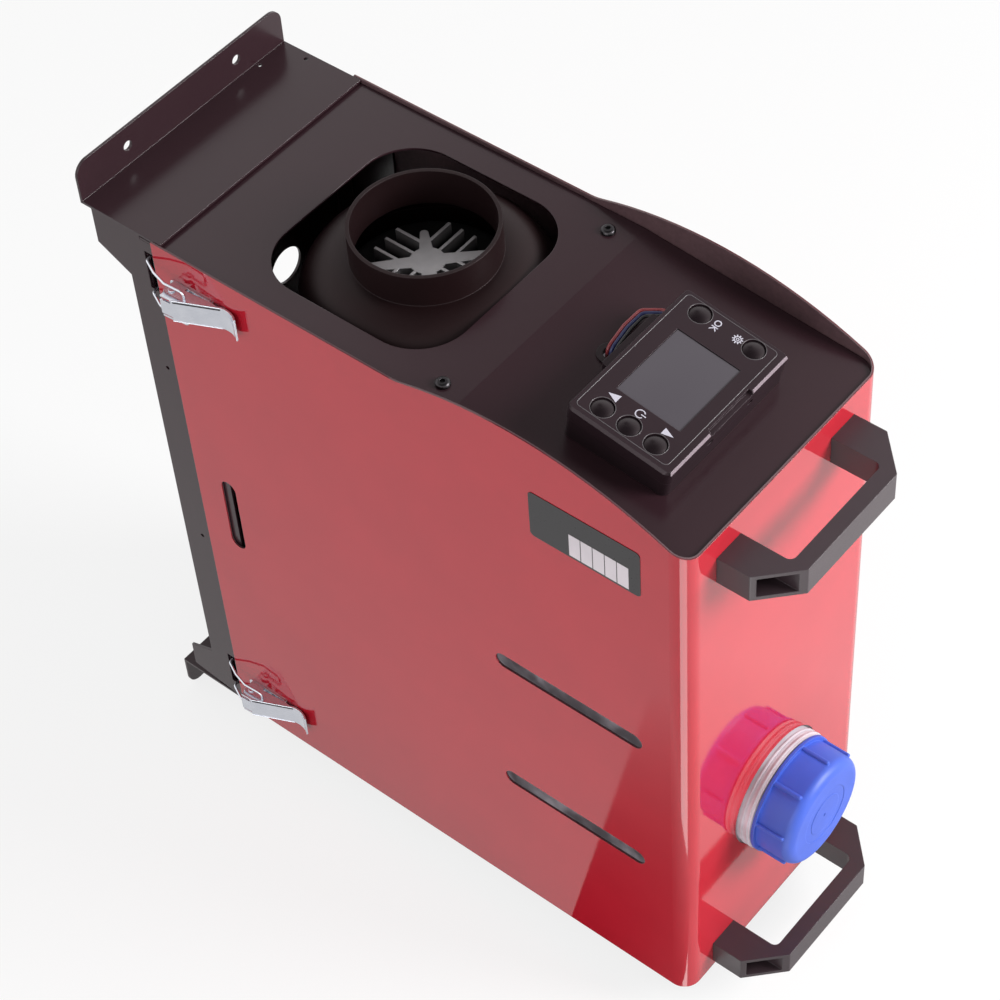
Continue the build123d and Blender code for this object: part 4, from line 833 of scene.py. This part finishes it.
leverEdges = {"Length": 25.2 * mm, "Edges": 2, "Width": 13.7 * mm, "Thickness": 0.34 * mm}
leverCrease = {"Length": 24.2 * mm, "Width": 0.85 * mm, "Thickness": 0.06 * mm, "Start": 1.2 * mm}
leverFace = {"side": 75.0, "pivotDepth": 301.0, "rear": (4.0, 12.5), "front": (27.0, 2.2),
             "creaseIn": 5.6, "creaseRise": 0.05,
             "heights": {"lower": 26.0, "upper": 344.0}, "sides": {"left": -1, "right": 1}}


def leverPlace(side, height):
    # x along the face towards its front, y out of it
    look = leverFace
    rear, front = [Vector((side * (look["side"] + rise), look["pivotDepth"] - ahead, height))
                   for ahead, rise in (look["rear"], look["front"])]
    along = (front - rear).normalized()
    outward = Vector((-along.y * side, along.x * side, 0.0))
    turn = Matrix((along, outward, along.cross(outward))).transposed().to_4x4()
    return caseShift(*rear) @ turn


def leverEdgeMesh():
    edges = Growth("leverEdges", leverEdges)
    path = edges.node("GeometryNodeCurvePrimitiveLine", {}, {"End": edges.vector(x=edges.given("Length"))})
    width = edges.given("Width")
    row = edges.row(edges.given("Edges"), edges.vector(z=width), edges.vector(z=width * -0.5))
    return edges.mesh(edges.repeated(row, edges.bead(path, 8, capped=True)), "zincPlate")


def leverCreaseShadeMesh():
    # a dark strip: painted shade in a pressed crease
    creaseShade = Growth("leverCrease", leverCrease)
    size = creaseShade.vector(creaseShade.given("Length"), creaseShade.given("Thickness"), creaseShade.given("Width"))
    strip = creaseShade.node("GeometryNodeMeshCube", {}, {"Size": size})
    middle = creaseShade.given("Length") * 0.5 + creaseShade.given("Start")
    return creaseShade.mesh(creaseShade.shifted(strip, creaseShade.vector(x=middle)), "blackOxide")


def dressLevers():
    look = leverFace
    for sideName, side in look["sides"].items():
        for level, height in look["heights"].items():
            body = "lever_" + sideName + "_" + level
            place = leverPlace(side, height)
            pieceFrom(leverEdgeMesh(), "edges_" + body, "zincPlate", body, place)
            creaseShade = place @ shift(0.0, look["creaseRise"], side * look["creaseIn"])
            pieceFrom(leverCreaseShadeMesh(), "creaseShade_" + body, "blackOxide", body, creaseShade)


dressLevers()
print("latch levers dressed")


# the pump's return spring, copied into a piece with a mesh of its own; the real spring shortens as the
# plunger comes up


def shorteningSpring():
    coil = bmesh.new()
    coil.from_mesh(frame["nodes"]["pump_spring"].data)
    coil.transform(frame["nodes"]["pump_spring"].matrix_world)
    bmesh.ops.remove_doubles(coil, verts=coil.verts, dist=mergeGap)
    bmesh.ops.recalc_face_normals(coil, faces=coil.faces)
    mesh = finished(coil, "returnSpring")
    spring = pieceFrom(mesh, "returnSpring", "satinStainless", "case")
    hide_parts("pump_spring")
    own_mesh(spring)


shorteningSpring()
print("return spring replaced")


# camera, floor and light

viewPoint = {"place": (-0.69013, -0.82562, 1.30157), "target": (0.00714, -0.18588, 0.20781),
             "roll": 4.634, "lens": 100.84, "sensor": 36.0, "nearest": 0.05, "farthest": 50.0}


def makeCamera():
    look = viewPoint
    data = bpy.data.cameras.new("viewCamera")
    data.lens = look["lens"]
    data.sensor_width = look["sensor"]
    data.clip_start = look["nearest"]
    data.clip_end = look["farthest"]
    camera = linked("viewCamera", data)
    place = Vector(look["place"])
    forward = (Vector(look["target"]) - place).normalized()
    levelRight = forward.cross(Vector((0, 0, 1))).normalized()
    levelUp = levelRight.cross(forward)
    roll = radians(look["roll"])
    right = levelRight * cos(roll) - levelUp * sin(roll)
    up = levelUp * cos(roll) + levelRight * sin(roll)
    turn = Matrix((right, up, -forward)).transposed()
    camera.matrix_world = Matrix.Translation(place) @ turn.to_4x4()
    bpy.context.scene.camera = camera


# the floor's glow is what the camera and the gloss see of it, skyDiffuse lights the colours, and the
# gloss sees a sky from horizon to zenith with one soft dark patch, given in degrees round a direction
studio = {"floorHalf": 4.0, "floorGap": 0.5 * mm, "floorColour": (0.84, 0.84, 0.84), "glowSeen": 0.80,
          "glowMirrored": 0.76, "skyDiffuse": 0.52, "skyLow": 0.66, "skyHigh": 0.95, "horizon": 1.45,
          "zenith": 0.10, "shadeToward": (0.531, 0.386, 0.755), "shadeInner": 5.0, "shadeOuter": 10.0,
          "shadeDepth": 0.97}
lamps = {
    "frontKey": {"place": (0.75, -1.65, 1.05), "aim": (0.0, -0.25, 0.2), "size": 0.9, "power": 44.0},
    "leftFill": {"place": (-1.7, -0.5, 0.9), "aim": (0.0, -0.2, 0.2), "size": 1.2, "power": 8.5},
}
# cards on the floor that show only in the gloss: their corner (across, depth), the two bearings
# between which they spread, counted from -X towards the front, their reach, their brightness,
# and the brightness near their corner, which fades out over a length
cardRim = {"steps": 12, "lift": 0.1 * mm, "fadePower": 2.0}
cards = {
    "frontCard": {"corner": (-72.0, 2.0), "bearings": (60.0, 178.0), "reach": 1.2,
                  "strength": 1.15, "near": 0.62, "fade": 0.24},
    "cornerCard": {"corner": (-74.0, 4.0), "bearings": (22.0, 60.0), "reach": 0.50,
                   "strength": 3.6, "near": 3.6, "fade": 0.1},
    "shadeCard": {"corner": (-76.0, 84.0), "bearings": (-21.0, 82.0), "reach": 0.17,
                  "strength": 0.74, "near": 0.0, "fade": 0.17},
}


def flatStage(name, outline, level, material):
    mesh = bpy.data.meshes.new(name)
    mesh.from_pydata([(x, y, level) for x, y in outline], [], [list(range(len(outline)))])
    mesh.materials.append(material)
    piece = linked(name, mesh)
    piece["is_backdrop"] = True
    return piece


def makeFloor():
    look = studio
    finish = Finish("paleFloor")
    rays = finish.node("ShaderNodeLightPath", output="Is Camera Ray")
    mirrored = rays.out("Is Glossy Ray")
    diffuse = finish.node("ShaderNodeBsdfDiffuse", {}, {"Color": rgb(look["floorColour"])})
    strength = rays + mirrored * look["glowMirrored"]
    glow = finish.node("ShaderNodeEmission", {}, {"Color": (1, 1, 1, 1), "Strength": strength})
    glowing = (rays * look["glowSeen"]).most(mirrored)
    mixed = finish.node("ShaderNodeMixShader", {}, {0: glowing, 1: diffuse, 2: glow})
    finish.node("ShaderNodeOutputMaterial", {}, {"Surface": mixed})
    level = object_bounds()[0].z - look["floorGap"]
    half = look["floorHalf"]
    flatStage("floor", [(-half, -half), (half, -half), (half, half), (-half, half)], level, finish.material)
    return level


def makeCards(level):
    for index, (name, look) in enumerate(cards.items()):
        finish = Finish(name)
        corner = casePoint(*look["corner"], 0.0)
        away = finish.vectorMaths("DISTANCE", finish.place(), (corner.x, corner.y, level), "Value")
        faded = (away * (1.0 / look["fade"])).clamped() ** cardRim["fadePower"]
        strength = look["near"] + faded * (look["strength"] - look["near"])
        glow = finish.node("ShaderNodeEmission", {}, {"Color": (1, 1, 1, 1), "Strength": strength})
        finish.node("ShaderNodeOutputMaterial", {}, {"Surface": glow})
        start, end = (radians(bearing) for bearing in look["bearings"])
        outline = [(corner.x, corner.y)]
        for step in range(cardRim["steps"] + 1):
            bearing = start + (end - start) * step / cardRim["steps"]
            outline.append((corner.x - look["reach"] * cos(bearing), corner.y - look["reach"] * sin(bearing)))
        card = flatStage(name, outline, level + (index + 1) * cardRim["lift"], finish.material)
        card.visible_camera = False
        card.visible_diffuse = False
        card.visible_shadow = False


def makeSky():
    # even light for the finishes, and for the gloss a sky that is dark overhead
    look = studio
    world = bpy.data.worlds.new("studioSky")
    world.use_nodes = True
    world.node_tree.nodes.clear()
    sky = Bench(world.node_tree)
    toward = sky.node("ShaderNodeTexCoord", output="Generated")
    upward = sky.node("ShaderNodeSeparateXYZ", {}, {0: toward}, "Z")
    overhead = ((upward - look["skyLow"]) * (1.0 / (look["skyHigh"] - look["skyLow"]))).clamped()
    near = sky.vectorMaths("DOT_PRODUCT", toward, look["shadeToward"], "Value")
    inner, outer = (cos(radians(look[edge])) for edge in ("shadeInner", "shadeOuter"))
    shade = ((near - outer) * (1.0 / (inner - outer))).clamped() * look["shadeDepth"]
    mirrored = (look["horizon"] - overhead * (look["horizon"] - look["zenith"])) * (1.0 - shade)
    rays = sky.node("ShaderNodeLightPath", output="Is Camera Ray")
    plain = look["skyDiffuse"] + rays * (1.0 - look["skyDiffuse"])
    strength = plain + rays.out("Is Glossy Ray") * (mirrored - look["skyDiffuse"])
    back = sky.node("ShaderNodeBackground", {}, {"Color": (1, 1, 1, 1), "Strength": strength})
    sky.node("ShaderNodeOutputWorld", {}, {"Surface": back})
    bpy.context.scene.world = world


def makeLamps():
    for name, look in lamps.items():
        data = bpy.data.lights.new(name, "AREA")
        data.shape = "DISK"
        data.size = look["size"]
        data.energy = look["power"]
        lamp = linked(name, data)
        place = Vector(look["place"])
        aim = (Vector(look["aim"]) - place).to_track_quat("-Z", "Y")
        lamp.matrix_world = Matrix.Translation(place) @ aim.to_matrix().to_4x4()


makeCamera()
makeCards(makeFloor())
makeSky()
makeLamps()
bpy.context.scene.view_settings.view_transform = "Standard"
print("camera, floor and light set")
